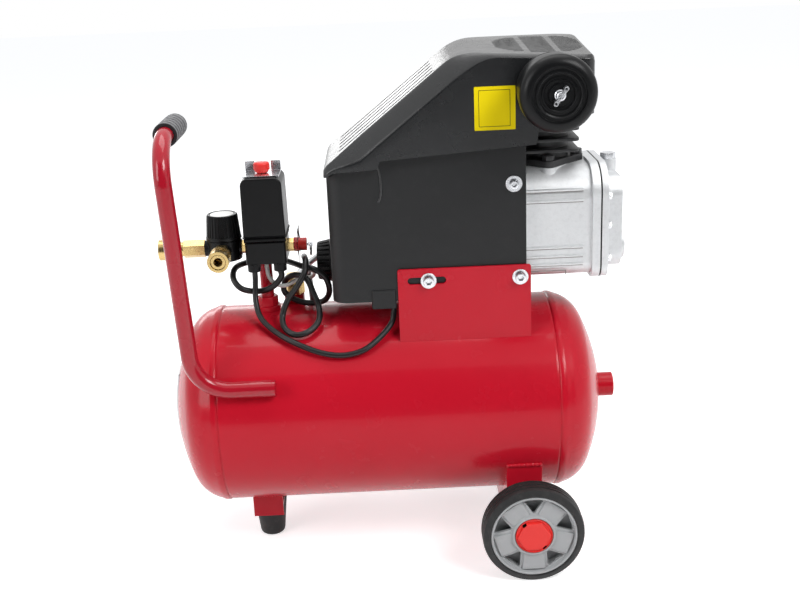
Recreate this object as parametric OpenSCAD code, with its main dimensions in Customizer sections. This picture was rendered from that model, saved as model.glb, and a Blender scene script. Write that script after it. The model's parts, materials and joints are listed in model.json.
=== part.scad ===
// Hotdog air compressor: a horizontal 24 litre receiver on two wheels and one rubber foot, with a
// direct coupled single cylinder pump under a two piece cowl, a pressure switch, a regulator and
// two quick couplers. Millimetres, +Z up, floor at z = 0. Places are measured from the tank's middle
// and the whole object is then shifted so that the middle of its length is at x = 0.

/* [Tank] */
// Outside diameter of the receiver
tank_d = 250; // [200:1:300]
// Length over both dished heads
tank_len = 543; // [480:1:640]
// Plate thickness of shell and heads
tank_wall = 2.5; // [2:0.1:5]
// Height of the tank's underside over the floor
tank_lift = 67; // [55:1:120]
// Depth of a dished head
head_depth = 63.5; // [55:0.5:80]
// Radius of the knuckle between head and shell
knuckle_r = 45; // [30:1:50]
// Outside diameter of the boss in the right head
boss_d = 31; // [24:1:40]
// Place of the riser pipe along the tank
riser_x = -147; // [-160:1:-130]
// Outside diameter of the riser pipe
riser_d = 16; // [14:0.5:20]

/* [Wheels and foot] */
// Diameter of a wheel over the tyre
wheel_d = 125; // [100:1:140]
// Width of a wheel
wheel_w = 33; // [24:1:40]
// Distance of the axle from the tank's right end
wheel_setback = 102.5; // [90:0.5:120]
// Width over both wheels
track = 318; // [300:1:360]
// Diameter of the axle bolts
axle_d = 12; // [10:0.5:16]
// Diameter of the red hub cap
cap_d = 46; // [36:1:50]
// Width of the wheel bracket along the tank
bracket_w = 44; // [40:1:60]
// Distance of the foot from the tank's left end
foot_setback = 106.5; // [90:0.5:140]
// Top diameter of the rubber foot
foot_top_d = 43; // [36:1:50]
// Bottom diameter of the rubber foot
foot_low_d = 33; // [26:1:40]
// Height of the rubber foot
foot_h = 52; // [40:1:56]

/* [Handle] */
// Diameter of the handle tube
handle_d = 20; // [16:0.5:26]
// Angle of the handle's weld up the tank's side
handle_angle = 28.5; // [20:0.5:40]
// Free end of the welded stretch
handle_end_x = -134; // [-150:1:-100]
// Place of the upright leg
leg_x = -238; // [-250:1:-230]
// Bend radius at the foot of the leg
low_bend = 62; // [40:1:70]
// Bend radius under the grip
top_bend = 50; // [40:1:60]
// Height of the grip's axis
grip_z = 554; // [500:1:600]
// Length of the grip
grip_len = 80; // [70:1:150]
// Diameter of the grip
grip_d = 29; // [26:0.5:36]

/* [Saddle] */
// Near end of the saddle plates
saddle_x0 = 17; // [10:1:25]
// Far end of the saddle plates
saddle_x1 = 177; // [172:1:190]
// Top of the saddle plates
saddle_top = 383; // [378:1:395]
// Height of the saddle bolts
bolt_z = 368; // [366:1:370]
// Diameter of the saddle bolts
bolt_d = 8; // [6:0.5:10]

/* [Pump] */
// Height of the motor shaft
shaft_z = 434; // [430:1:440]
// Piston stroke
stroke = 40; // [30:1:42]
// Cylinder bore
bore_d = 47; // [40:0.5:50]
// Length of the con-rod between centres
rod_len = 88; // [84:1:92]
// Place of the cylinder along the tank
cyl_x = 203; // [200:1:206]
// Top of the crankcase
case_top = 492; // [488:1:496]
// Underside of the crankcase
case_low = 360; // [352:1:364]
// Half width of the crankcase
case_half = 62; // [60:0.5:64]
// Diameter of the air filter
filter_d = 86; // [70:1:96]
// Height of the air filter's axis
filter_z = 592; // [588:1:594]

/* [Cowl and hood] */
// Left end of cowl and hood
cowl_x0 = -62; // [-70:1:-58]
// Right end of the cowl
cowl_x1 = 172; // [168:1:176]
// Half width of the cowl
cowl_half = 73; // [73:0.5:76]
// Wall of cowl and hood
cowl_wall = 3; // [2:0.25:3]
// Underside of the cowl
cowl_low = 343; // [338:1:350]
// Top of the cowl
cowl_top = 520; // [516:1:522]
// Half width of the hood
hood_half = 86; // [82:1:92]
// Space between the cylinder head and the hood's top
hood_gap = 31; // [26:1:40]
// Right end of the hood
hood_x1 = 250; // [248:1:256]
// Place where the hood's slope meets its top
slope_x = 99; // [80:1:120]

/* [Controls] */
// Place of the pressure switch along the tank
switch_x = -142.5; // [-146:0.5:-139]
// Width of the switch cover
switch_w = 52; // [46:1:56]
// Underside of the switch cover
switch_z = 411; // [406:1:416]
// Height of the switch cover
switch_h = 80; // [60:1:90]
// Height of the air ports
port_z = 400; // [397:0.5:402]
// Place of the regulator along the tank
regulator_x = -196; // [-199:0.5:-192]
// Lower diameter of the regulator knob
knob_d = 44; // [40:1:48]
// Height of the regulator knob
knob_h = 32; // [26:1:40]
// Bore of a quick coupler
coupler_bore = 10.4; // [8:0.1:11]

/* [Cords] */
// Diameter of the mains lead
lead_d = 7.5; // [6.5:0.1:8]
// Diameter of the motor cable
cable_d = 7; // [6:0.1:7.5]

/* [Fits] */
// Radial clearance of a running fit
run_fit = 0.06; // [0.02:0.01:0.1]
// Clearance between parts that slide loosely
free_fit = 0.3; // [0.2:0.05:0.5]
// Radial clearance of parts that are pressed or clamped together
press_fit = 0.05; // [0.02:0.01:0.1]
// Clearance around a bolt
bolt_fit = 0.2; // [0.1:0.05:0.5]

/* [Hidden] */
$fn = 96;
red = [0.74, 0.09, 0.14];
black = [0.08, 0.08, 0.09];
rubber = [0.05, 0.05, 0.05];
steel = [0.62, 0.63, 0.65];
alu = [0.72, 0.73, 0.74];
brass = [0.80, 0.64, 0.30];
grey = [0.55, 0.56, 0.58];
white = [0.92, 0.92, 0.90];

// Receiver
tank_r = tank_d / 2;
tank_z = tank_lift + tank_r;
tank_top = tank_z + tank_r;
seam_x = tank_len / 2 - head_depth;
crown_off = (pow(tank_r - knuckle_r, 2) - pow(head_depth - knuckle_r, 2)) / (2 * (head_depth - knuckle_r));
crown_r = head_depth + crown_off;
blend_a = atan2(crown_off, tank_r - knuckle_r);
bead_h = 8;
crown_x = seam_x - crown_off;
boss_x1 = tank_len / 2 + 21;
valve_x = -116;
valve_y = 31;
plate_t = 1.5;

// Wheels, foot and drain
wheel_r = wheel_d / 2;
wheel_x = tank_len / 2 - wheel_setback;
foot_x = foot_setback - tank_len / 2;
bracket_x0 = wheel_x - bracket_w / 2 - 6;
drain_x = bracket_x0 + bracket_w + 8;
wheel_in = track / 2 - wheel_w;
rim_r = wheel_r * 0.845;
tyre_edge = (wheel_r - rim_r) * 0.48;
sheet = 3;
bracket_half = min(wheel_in - 11, tank_r * 0.9);
foot_flange_y = 32;

// Handle
weld_r = tank_r + handle_d / 2;
leg_y = -weld_r * cos(handle_angle);
weld_z = tank_z + weld_r * sin(handle_angle);
grip_y0 = leg_y + top_bend + 1.5;
rib_pitch = 9;

// Saddle bolts and cowl screws
front_bolt_x = 54;
rear_bolt_x = 164;
cowl_screw_x = 157.5;
cowl_screw_z = 481;
inner_half = cowl_half - cowl_wall;

// Pump and motor along the shaft
mount_x = 150;
case_x0 = 172;
case_x1 = 262;
case_round = 36;
sight_z = case_low + 25;
base_half = 36;
stud_off = (base_half - 8) * sqrt(2);
gasket_t = 1.5;
cover_x0 = case_x1 + gasket_t;
cover_x1 = cover_x0 + 26.5;
sight_x1 = cover_x1 + 11;
oil_plug_x = cover_x0 + 18.5;
throw_r = stroke / 2;
pin_z = shaft_z - throw_r;
wrist_z = pin_z + rod_len;
crown_h = 16;
cyl_top = wrist_z + crown_h + stroke + 1;
valve_plate_t = 5;
head_z = cyl_top + valve_plate_t;
head_h = 42;
head_top = head_z + head_h;
hood_top = head_top + hood_gap;
delivery_z = head_z + 14;
head_w = 80;
bolt_sq = 31;
shaft_r = 10;
race_r = 23.5;
race_w = 14;
web_x = 180;
web_t = 10;
crank_pin_r = 8;
wrist_r = 6;
housing_r = inner_half - 1;
stator_r = housing_r - 4;
rotor_r = 36;
stator_x0 = 40;
stator_x1 = 110;
bell_x = -5;
fan_x0 = -44;
fan_x1 = -16;
filter_x = cyl_x - 4;
filter_back = hood_half + 9;
filter_front = 148;
intake_r = 11;

// Switch, regulator and couplers
switch_half = switch_w / 2;
base_low = 384;
gland_low = 374;
gland_y = -23;
gland_dx = 16;
knob_r = knob_d / 2;
knob_z = port_z + 11.5;
coupler_r = 9;
sleeve_r = 13;
front_end = 68;
left_end = 277;
sleeve_len = 25;
sleeve_travel = 4;

// Object frame: the middle of the length is moved to x = 0
right_end = max(sight_x1, boss_x1);
middle_x = (right_end - left_end) / 2;

module object_frame() translate([-middle_x, 0, 0]) children();
module along_x(x0, len) translate([x0, 0, 0]) rotate([90, 0, 90]) linear_extrude(len) children();
module along_y(y0, len) translate([0, y0 + len, 0]) rotate([90, 0, 0]) linear_extrude(len) children();
module rod_x(x0, len, r, y, z) translate([x0, y, z]) rotate([0, 90, 0]) cylinder(h = len, r = r);
module rod_y(y0, len, r, x, z) translate([x, y0, z]) rotate([-90, 0, 0]) cylinder(h = len, r = r);
module rod_z(z0, len, r, x, y) translate([x, y, z0]) cylinder(h = len, r = r);
module hex_x(x0, len, af, y, z)
  translate([x0, y, z]) rotate([0, 90, 0]) cylinder(h = len, d = af / cos(30), $fn = 6);
module hex_y(y0, len, af, x, z)
  translate([x, y0, z]) rotate([-90, 0, 0]) cylinder(h = len, d = af / cos(30), $fn = 6);
module hex_z(z0, len, af, x, y) translate([x, y, z0]) cylinder(h = len, d = af / cos(30), $fn = 6);
module both_sides() {
  children();
  mirror([0, 1, 0]) children();
}

// Rectangle with round corners, built from squares and circles so that its corners stay true arcs
module round_rect(x0, x1, y0, y1, r) {
  translate([x0 + r, y0]) square([x1 - x0 - 2 * r, y1 - y0]);
  translate([x0, y0 + r]) square([x1 - x0, y1 - y0 - 2 * r]);
  for (x = [x0 + r, x1 - r])
    for (y = [y0 + r, y1 - r])
      translate([x, y]) circle(r);
}

module tank_body(r, x0, x1) rod_x(x0, x1 - x0, r, 0, tank_z);

// Tank

module tank_shell() color(red) object_frame() difference() {
  tank_body(tank_r, -seam_x, seam_x);
  tank_body(tank_r - tank_wall, -seam_x - 1, seam_x + 1);
  rod_z(tank_z, tank_r + 5, riser_d / 2 - 3, riser_x, 0);
  rod_z(tank_z, tank_r + 5, 5, valve_x, valve_y);
  rod_z(tank_lift - 5, 30, 3.5, drain_x, 0);
}

// Points of an arc from angle a0 to a1 in n steps
function arc(x, z, r, a0, a1, first, n) =
  [for (i = [first:n]) let (a = a0 + (a1 - a0) * i / n) [x + r * cos(a), z + r * sin(a)]];

// Outside of a dished head: knuckle and crown arcs
function head_outline() = concat(
  arc(tank_r - knuckle_r, 0, knuckle_r, asin(bead_h / knuckle_r), blend_a, 0, 8),
  arc(0, -crown_off, crown_r, blend_a, 90, 1, 12));

// Dished head with a weld bead at its rim
module head_section() polygon(concat(
  [[tank_r + 1.2, 0], [tank_r + 1.2, bead_h]],
  head_outline(),
  arc(0, -crown_off, crown_r - tank_wall, 90, blend_a, 0, 12),
  arc(tank_r - knuckle_r, 0, knuckle_r - tank_wall, blend_a, 0, 1, 8)));

module right_head() translate([seam_x, 0, tank_z]) rotate([0, 90, 0]) rotate_extrude() children();
module head() right_head() head_section();

module tank_heads() color(red) object_frame() {
  difference() {
    head();
    rod_x(seam_x, head_depth + 5, boss_d / 2 - 5, 0, tank_z);
  }
  mirror([1, 0, 0]) head();
}

// Welded ports: riser, end boss with its plug, check valve socket and drain socket
module tank_ports() color(red) object_frame() {
  difference() {
    union() {
      rod_z(tank_top - 8, 14, riser_d / 2 + 7, riser_x, 0);
      hex_z(tank_top + 6, 12, riser_d + 6, riser_x, 0);
      rod_z(tank_top, base_low - tank_top, riser_d / 2, riser_x, 0);
    }
    tank_body(tank_r, -seam_x, seam_x);
    rod_z(tank_top - 20, base_low - tank_top + 40, riser_d / 2 - 3, riser_x, 0);
  }
  difference() {
    rod_x(tank_len / 2 - 8, boss_x1 - tank_len / 2 + 8, boss_d / 2, 0, tank_z);
    right_head() polygon(concat([[0, 0]], head_outline()));
    rod_x(tank_len / 2 - 10, 50, boss_d / 2 - 5, 0, tank_z);
  }
  difference() {
    rod_x(boss_x1 - 16, 12, boss_d / 2 - 5 - bolt_fit, 0, tank_z);
    hex_x(boss_x1 - 12, 12, 10, 0, tank_z);
  }
  difference() {
    rod_z(tank_top - 20, 30, 13, valve_x, valve_y);
    tank_body(tank_r, -seam_x, seam_x);
    rod_z(tank_top - 40, 80, 5, valve_x, valve_y);
  }
  difference() {
    rod_z(tank_lift - 8, 14, 7, drain_x, 0);
    tank_body(tank_r, -seam_x, seam_x);
    rod_z(tank_lift - 20, 40, 3.5, drain_x, 0);
  }
}

// Bare data plate, curved to the left head
module data_plate() color(grey) object_frame() intersection() {
  translate([-crown_x, 0, tank_z]) difference() {
    sphere(crown_r + plate_t);
    sphere(crown_r);
  }
  along_x(-tank_len, tank_len / 2 + 60) translate([0, tank_z]) round_rect(-36, 36, -56, 56, 4);
}

// Handle

module handle_path(r) {
  rod_x(leg_x + low_bend, handle_end_x - leg_x - low_bend, r, leg_y, weld_z);
  translate([leg_x + low_bend, leg_y, weld_z + low_bend]) rotate([90, 180, 0])
    rotate_extrude(angle = 90) translate([low_bend, 0]) circle(r);
  rod_z(weld_z + low_bend, grip_z - top_bend - weld_z - low_bend, r, leg_x, leg_y);
  translate([leg_x, leg_y + top_bend, grip_z - top_bend]) rotate([90, 0, 90]) rotate([0, 0, 90])
    rotate_extrude(angle = 90) translate([top_bend, 0]) circle(r);
  rod_y(leg_y + top_bend, grip_y0 + grip_len - 5 - leg_y - top_bend, r, leg_x, grip_z);
}

module handle_tube() color(red) object_frame() difference() {
  handle_path(handle_d / 2);
  handle_path(handle_d / 2 - 1.5);
}

module handle_grip() color(rubber) object_frame() difference() {
  union() {
    rod_y(grip_y0, grip_len - 6, grip_d / 2, leg_x, grip_z);
    translate([leg_x, grip_y0 + grip_len - 6, grip_z]) rotate([-90, 0, 0])
      cylinder(h = 6, r1 = grip_d / 2, r2 = grip_d / 2 - 4);
  }
  rod_y(grip_y0 - 1, grip_len - 3.5, handle_d / 2 + 0.1, leg_x, grip_z);
  for (y = [10:rib_pitch:grip_len - 12])
    translate([leg_x, grip_y0 + y, grip_z]) rotate([-90, 0, 0]) difference() {
      cylinder(h = 3, r = grip_d);
      cylinder(h = 3, r = grip_d / 2 - 1.4);
    }
}

// Saddle

module saddle_plates() color(red) object_frame() both_sides() difference() {
  along_y(-cowl_half - sheet, sheet) round_rect(saddle_x0, saddle_x1, tank_z, saddle_top, 3);
  tank_body(tank_r, -seam_x, seam_x);
  along_y(-cowl_half - sheet - 1, sheet + 2)
    round_rect(front_bolt_x - 25, front_bolt_x + 21,
               bolt_z - bolt_d / 2 - bolt_fit, bolt_z + bolt_d / 2 + bolt_fit, bolt_d / 2);
  rod_y(-cowl_half - sheet - 1, sheet + 2, bolt_d / 2 + bolt_fit, rear_bolt_x, bolt_z);
}

// One screw along +Y with washer and head, its head on the near side at y0
module side_screw(y0, shank, d, af, x, z) {
  rod_y(y0, shank, d / 2, x, z);
  difference() {
    rod_y(y0 - 1.6, 1.6, d * 1.18, x, z);
    rod_y(y0 - 1.7, 1.8, d / 2, x, z);
  }
  hex_y(y0 - 1.6 - d * 0.65, d * 0.65, af, x, z);
  rod_y(y0 - 1.6, 1.6, d / 2, x, z);
}

module bolts() color(steel) object_frame() {
  both_sides() {
    for (x = [front_bolt_x, rear_bolt_x])
      side_screw(-cowl_half - sheet, 20, bolt_d, 13, x, bolt_z);
    side_screw(-cowl_half, 14, 6, 10, cowl_screw_x, cowl_screw_z);
    for (z = [case_low + 22, shaft_z - 12, case_top - 34]) {
      rod_x(case_x1 - 12, cover_x0 + 8 - case_x1 + 12, 2.5, -case_half + 3, z);
      hex_x(cover_x0 + 8, 4, 8, -case_half + 3, z);
    }
    for (s = [-1, 1]) {
      rod_z(cyl_top - 9, head_top - cyl_top + 9, 4, cyl_x + s * bolt_sq, -bolt_sq);
      hex_z(head_top, 6, 13, cyl_x + s * bolt_sq, -bolt_sq);
    }
  }
  base_studs() {
    rod_z(case_top - 10, 24, 4, 0, 0);
    hex_z(case_top + 8, 6, 13, 0, 0);
  }
  rod_z(foot_h - 16, 19, bolt_d / 2, foot_x, 0);
  hex_z(foot_h + sheet, 6, 13, foot_x, 0);
}

// Running gear

module wheel_bracket() color(red) object_frame() difference() {
  translate([bracket_x0, -bracket_half, wheel_r - 18])
    cube([bracket_w, 2 * bracket_half, tank_z * 0.52]);
  translate([bracket_x0 + sheet, -bracket_half + sheet, 0])
    cube([bracket_w - 2 * sheet, 2 * (bracket_half - sheet), tank_z]);
  tank_body(tank_r, -seam_x, seam_x + 20);
  rod_y(-track, 2 * track, axle_d / 2 + bolt_fit, wheel_x, wheel_r);
}

// Each wheel turns on its own bolt, which the bracket's side holds between a head and a collar
module axle() color(steel) object_frame() both_sides() {
  rod_y(-track / 2 + 8, track / 2 - 8 - bracket_half + sheet + 2, axle_d / 2, wheel_x, wheel_r);
  hex_y(-bracket_half + sheet, 8, 19, wheel_x, wheel_r);
  rod_y(-wheel_in + free_fit, wheel_in - free_fit - bracket_half, axle_d / 2 + 4, wheel_x, wheel_r);
  hex_y(-wheel_in - wheel_w * 0.62 - free_fit - 6, 6, 19, wheel_x, wheel_r);
}

// A wheel is drawn with its inner face on z = 0 and its outer face on z = wheel_w
module wheel_place(side)
  object_frame() translate([wheel_x, side * wheel_in, wheel_r]) rotate([-90 * side, 0, 0]) children();

module tyre_shape() rotate_extrude() difference() {
  union() {
    translate([rim_r, 0]) square([wheel_r - rim_r - tyre_edge, wheel_w]);
    translate([rim_r, tyre_edge]) square([wheel_r - rim_r, wheel_w - 2 * tyre_edge]);
    for (z = [tyre_edge, wheel_w - tyre_edge])
      translate([wheel_r - tyre_edge, z]) circle(tyre_edge);
  }
  for (z = [11, wheel_w / 2, wheel_w - 11])
    translate([wheel_r - 1.5, z - 1]) square([3, 2]);
}

module rim_shape() difference() {
  union() {
    difference() {
      cylinder(h = wheel_w, r = rim_r - press_fit);
      translate([0, 0, -1]) cylinder(h = wheel_w + 2, r = rim_r - 5);
    }
    translate([0, 0, wheel_w * 0.62 - 5]) cylinder(h = 6, r = rim_r - 4);
    translate([0, 0, 4]) cylinder(h = 3, r = rim_r - 4);
    cylinder(h = wheel_w * 0.62, r = axle_d / 2 + 7);
  }
  translate([0, 0, -1]) cylinder(h = wheel_w + 2, r = axle_d / 2 + run_fit);
  translate([0, 0, wheel_w * 0.62]) cylinder(h = wheel_w, r = axle_d / 2 + 8);
  for (i = [0:4])
    rotate(i * 72 + 90) translate([0, 0, 8]) linear_extrude(wheel_w)
      polygon([[cap_d / 2 + 3, 0], [rim_r - 8, 11], [rim_r - 8, -11]]);
}

module cap_shape() difference() {
  union() {
    translate([0, 0, wheel_w * 0.62 + 1]) cylinder(h = wheel_w * 0.38 - 5, r = cap_d / 2);
    translate([0, 0, wheel_w - 5]) cylinder(h = 5, r1 = cap_d / 2 - 2, r2 = cap_d / 2 - 5, $fn = 6);
  }
  translate([0, 0, wheel_w * 0.5]) cylinder(h = wheel_w * 0.5 - 3, r = 14);
}

module near_tyre() color(rubber) wheel_place(-1) tyre_shape();
module near_rim() color(grey) wheel_place(-1) rim_shape();
module near_cap() color(red) wheel_place(-1) cap_shape();
module far_tyre() color(rubber) wheel_place(1) tyre_shape();
module far_rim() color(grey) wheel_place(1) rim_shape();
module far_cap() color(red) wheel_place(1) cap_shape();

module foot_bracket() color(red) object_frame() difference() {
  translate([foot_x - 19.5, 0, 0]) {
    both_sides() translate([0, -foot_flange_y, foot_h - 13]) cube([39, sheet, 60]);
    translate([0, -foot_flange_y, foot_h]) cube([39, 2 * foot_flange_y, sheet]);
  }
  tank_body(tank_r, -seam_x, seam_x);
  translate([-tank_len, -tank_d, tank_z]) cube([2 * tank_len, 2 * tank_d, tank_d]);
  rod_z(foot_h - 1, 10, bolt_d / 2 + bolt_fit, foot_x, 0);
}

module rubber_foot() color(rubber) object_frame() translate([foot_x, 0, 0]) difference() {
  union() {
    rotate_extrude() {
      square([foot_low_d / 2 - 4, 8]);
      translate([foot_low_d / 2 - 4, 4]) circle(4);
    }
    translate([0, 0, 4]) cylinder(h = foot_h - 4, r1 = foot_low_d / 2, r2 = foot_top_d / 2);
  }
  translate([0, 0, foot_h - 18]) cylinder(h = 20, r = bolt_d / 2 + bolt_fit);
}

module drain_screw() color(brass) object_frame() {
  rod_z(tank_lift - 29, 16, 3, drain_x, 0);
  difference() {
    rod_z(tank_lift - 36, 8, 9, drain_x, 0);
    for (a = [0:30:150])
      translate([drain_x, 0, tank_lift - 37]) rotate(a) translate([-12, -0.8, 0]) difference() {
        cube([24, 1.6, 12]);
        translate([4, -1, -1]) cube([16, 4, 14]);
      }
  }
}

// Pump

module case_section(grow) {
  h = case_half + grow;
  low = case_low - grow;
  tall = case_top + grow - low;
  translate([-h, low + 20]) square([2 * h, tall - 20 - case_round]);
  translate([-h + 20, low]) square([2 * h - 40, tall - case_round]);
  translate([-h + case_round, low]) square([2 * (h - case_round), tall]);
  for (s = [-1, 1]) {
    translate([s * (h - 20), low + 20]) circle(20);
    translate([s * (h - case_round), low + tall - case_round]) circle(case_round);
  }
}

module case_hollow() round_rect(-case_half + 11, case_half - 11, case_low + 9, case_top - 12, 15);

module cover_holes() both_sides()
  for (z = [case_low + 22, shaft_z - 12, case_top - 34])
    rod_x(case_x1 - 14, cover_x0 + 24 - case_x1, 2.5 + bolt_fit, -case_half + 3, z);

module head_bolt_holes() both_sides()
  for (s = [-1, 1])
    rod_z(cyl_top - 9.5, head_top - cyl_top + 30, 4 + bolt_fit, cyl_x + s * bolt_sq, -bolt_sq);

// The cylinder stands on a plate set corner to corner with the case, held by four studs in its corners
module base_plate(z, h) translate([cyl_x, 0, z]) linear_extrude(h) rotate(45)
  round_rect(-base_half, base_half, -base_half, base_half, 8);
module base_studs()
  for (a = [0:90:270])
    translate([cyl_x + stud_off * cos(a), stud_off * sin(a), 0]) children();
module stud_holes() base_studs() rod_z(case_top - 11, 20, 4 + bolt_fit, 0, 0);

module crankcase() color(alu) object_frame() difference() {
  union() {
    along_x(mount_x, case_x0 - mount_x) round_rect(-inner_half, inner_half, case_low, case_top, 12);
    along_x(case_x0, case_x1 - case_x0 - 10) case_section(0);
    along_x(case_x1 - 10, 10) case_section(4);
    for (z = [16, 26, 37, 94, 107])
      translate([case_x0, -case_half - 2, case_low + z]) cube([70, 2 * case_half + 4, 2.4]);
    base_plate(case_top - 14, 14);
    both_sides() rod_z(case_top - 40, 40, 9, cyl_x, -stud_off);
  }
  along_x(case_x0 + 6, case_x1 - case_x0) case_hollow();
  rod_x(mount_x - 1, race_w + 1, race_r + press_fit, 0, shaft_z);
  rod_x(mount_x, 60, shaft_r + 2, 0, shaft_z);
  rod_z(case_top - 20, 40, bore_d / 2 + 5.5 + bolt_fit, cyl_x, 0);
  stud_holes();
  cover_holes();
  both_sides() {
    rod_y(-inner_half - 1, 20, bolt_d / 2 + bolt_fit, rear_bolt_x, bolt_z);
    rod_y(-inner_half - 1, 16, 3 + bolt_fit, cowl_screw_x, cowl_screw_z);
  }
}

module cover_gasket() color(black) object_frame() difference() {
  along_x(case_x1, gasket_t) case_section(4);
  along_x(case_x1 - 1, gasket_t + 2) case_hollow();
  cover_holes();
}

module crankcase_cover() color(alu) object_frame() difference() {
  union() {
    along_x(cover_x0, 8) case_section(4);
    along_x(cover_x0, cover_x1 - cover_x0)
      round_rect(-case_half + 8, case_half - 8, case_low + 6, case_top - 14, 22);
    rod_x(cover_x0, sight_x1 - cover_x0, 21, 0, sight_z);
    rod_z(case_top - 40, 40, 10, oil_plug_x, 0);
  }
  along_x(cover_x0 - 1, cover_x1 - cover_x0 - 4)
    round_rect(-case_half + 13, case_half - 13, case_low + 11, case_top - 20, 16);
  rod_x(cover_x0, 60, 12, 0, sight_z);
  rod_x(sight_x1 - 6, 8, 15, 0, sight_z);
  rod_z(case_top - 22, 46, 6 + bolt_fit, oil_plug_x, 0);
  cover_holes();
}

module sight_glass() color([0.85, 0.75, 0.35]) object_frame()
  rod_x(sight_x1 - 6, 5, 15 - bolt_fit, 0, sight_z);

module oil_plug() color(steel) object_frame() {
  rod_z(case_top - 16, 16, 6, oil_plug_x, 0);
  hex_z(case_top, 7, 17, oil_plug_x, 0);
}

module cylinder_block() color(black) object_frame() difference() {
  union() {
    rod_z(case_top - 12, cyl_top - case_top + 12, bore_d / 2 + 5.5, cyl_x, 0);
    base_plate(case_top, 8);
    for (z = [case_top + 16, case_top + 29, case_top + 42, cyl_top - 10])
      translate([cyl_x, 0, z]) linear_extrude(z == cyl_top - 10 ? 10 : 4)
        round_rect(-head_w / 2 + 2, head_w / 2 - 2, -head_w / 2 + 2, head_w / 2 - 2, 8);
  }
  rod_z(case_top - 30, 100, bore_d / 2, cyl_x, 0);
  head_bolt_holes();
  stud_holes();
}

module valve_plate() color(steel) object_frame() difference() {
  translate([cyl_x, 0, cyl_top]) linear_extrude(valve_plate_t)
    round_rect(-head_w / 2, head_w / 2, -head_w / 2, head_w / 2, 8);
  head_bolt_holes();
  for (s = [-1, 1])
    rod_z(cyl_top - 1, 10, 6, cyl_x, s * 11);
}

module cylinder_head() color(alu) object_frame() difference() {
  translate([cyl_x, 0, head_z]) {
    linear_extrude(head_h - 4) round_rect(-head_w / 2, head_w / 2, -head_w / 2, head_w / 2, 8);
    for (s = [-1, 1])
      for (t = [-1, 1])
        translate([s * bolt_sq, t * bolt_sq, 0]) cylinder(h = head_h, r = 8);
    for (i = [-3:3])
      translate([i * 7 - 1.5, -head_w / 2 + 4, 0]) cube([3, head_w - 8, head_h]);
  }
  head_bolt_holes();
  rod_y(-head_w, head_w - 6, intake_r - 3, filter_x, filter_z);
  rod_y(6, head_w, 5, cyl_x, delivery_z);
  for (s = [-1, 1])
    rod_z(head_z - 1, 16, 6, cyl_x, s * 11);
}

module piston() color(alu) object_frame() {
  difference() {
    rod_z(wrist_z - 14, crown_h + 14, bore_d / 2 - run_fit, cyl_x, 0);
    rod_z(wrist_z - 15, crown_h + 11, bore_d / 2 - 4, cyl_x, 0);
    rod_x(cyl_x - bore_d, 2 * bore_d, wrist_r + press_fit, 0, wrist_z);
  }
  rod_x(cyl_x - bore_d / 2 + 3, bore_d - 6, wrist_r, 0, wrist_z);
}

// Con-rod with the crank pin that rides in its big end, at bottom dead centre
module con_rod() color(steel) object_frame() {
  difference() {
    union() {
      rod_x(cyl_x - 7, 14, 15, 0, pin_z);
      rod_x(cyl_x - 7, 14, wrist_r + 4, 0, wrist_z);
      translate([cyl_x - 4, -6, pin_z]) cube([8, 12, rod_len]);
    }
    rod_x(cyl_x - 8, 16, crank_pin_r + press_fit, 0, pin_z);
    rod_x(cyl_x - 8, 16, wrist_r + run_fit, 0, wrist_z);
  }
  rod_x(web_x + web_t + free_fit, cyl_x + 8 - web_x - web_t - free_fit, crank_pin_r, 0, pin_z);
}

// Motor

module motor_housing() color(alu) object_frame() difference() {
  union() {
    rod_x(bell_x, mount_x - bell_x, housing_r, 0, shaft_z);
    translate([front_bolt_x - 20, -inner_half, bolt_z - 9]) cube([40, 2 * inner_half, 18]);
  }
  rod_x(bell_x + 15, mount_x, stator_r + 0.1, 0, shaft_z);
  rod_x(bell_x + 2, 30, race_r + press_fit, 0, shaft_z);
  rod_x(bell_x - 1, 30, shaft_r + 4, 0, shaft_z);
  both_sides() rod_y(-inner_half - 1, 20, bolt_d / 2 + bolt_fit, front_bolt_x, bolt_z);
  for (a = [30:60:330])
    translate([0, 0, shaft_z]) rotate([a, 0, 0]) rod_x(bell_x - 1, 20, 9, 0, 44);
}

module stator() color([0.45, 0.38, 0.33]) object_frame() {
  difference() {
    rod_x(stator_x0, stator_x1 - stator_x0, stator_r, 0, shaft_z);
    rod_x(stator_x0 - 1, stator_x1, rotor_r + 0.4, 0, shaft_z);
  }
  for (x = [stator_x0 - 20 - press_fit, stator_x1 + press_fit])
    difference() {
      rod_x(x, 20, stator_r - 6, 0, shaft_z);
      rod_x(x - 1, 22, rotor_r + 3, 0, shaft_z);
    }
}

module rotor() color(steel) object_frame() difference() {
  rod_x(stator_x0 - 4, stator_x1 - stator_x0 + 8, rotor_r, 0, shaft_z);
  rod_x(stator_x0 - 9, 200, shaft_r + press_fit, 0, shaft_z);
}

module inner_race(x) difference() {
  rod_x(x, race_w, shaft_r + 4.5, 0, shaft_z);
  rod_x(x - 1, race_w + 2, shaft_r + press_fit, 0, shaft_z);
}

module crankshaft() color(steel) object_frame() {
  rod_x(fan_x0, web_x - fan_x0, shaft_r, 0, shaft_z);
  rod_x(web_x, web_t, throw_r + 17, 0, shaft_z);
  inner_race(bell_x + 2.5);
  inner_race(mount_x);
}

module bearings() color(steel) object_frame()
  for (x = [bell_x + 2, mount_x]) {
    difference() {
      rod_x(x, race_w - 1, race_r, 0, shaft_z);
      rod_x(x - 1, race_w + 2, race_r - 3.5, 0, shaft_z);
    }
    for (a = [0:45:315])
      translate([x + race_w / 2, 0, shaft_z]) rotate([a, 0, 0]) translate([0, 0, race_r - 6.1])
        sphere(2.55, $fn = 48);
  }

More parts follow.
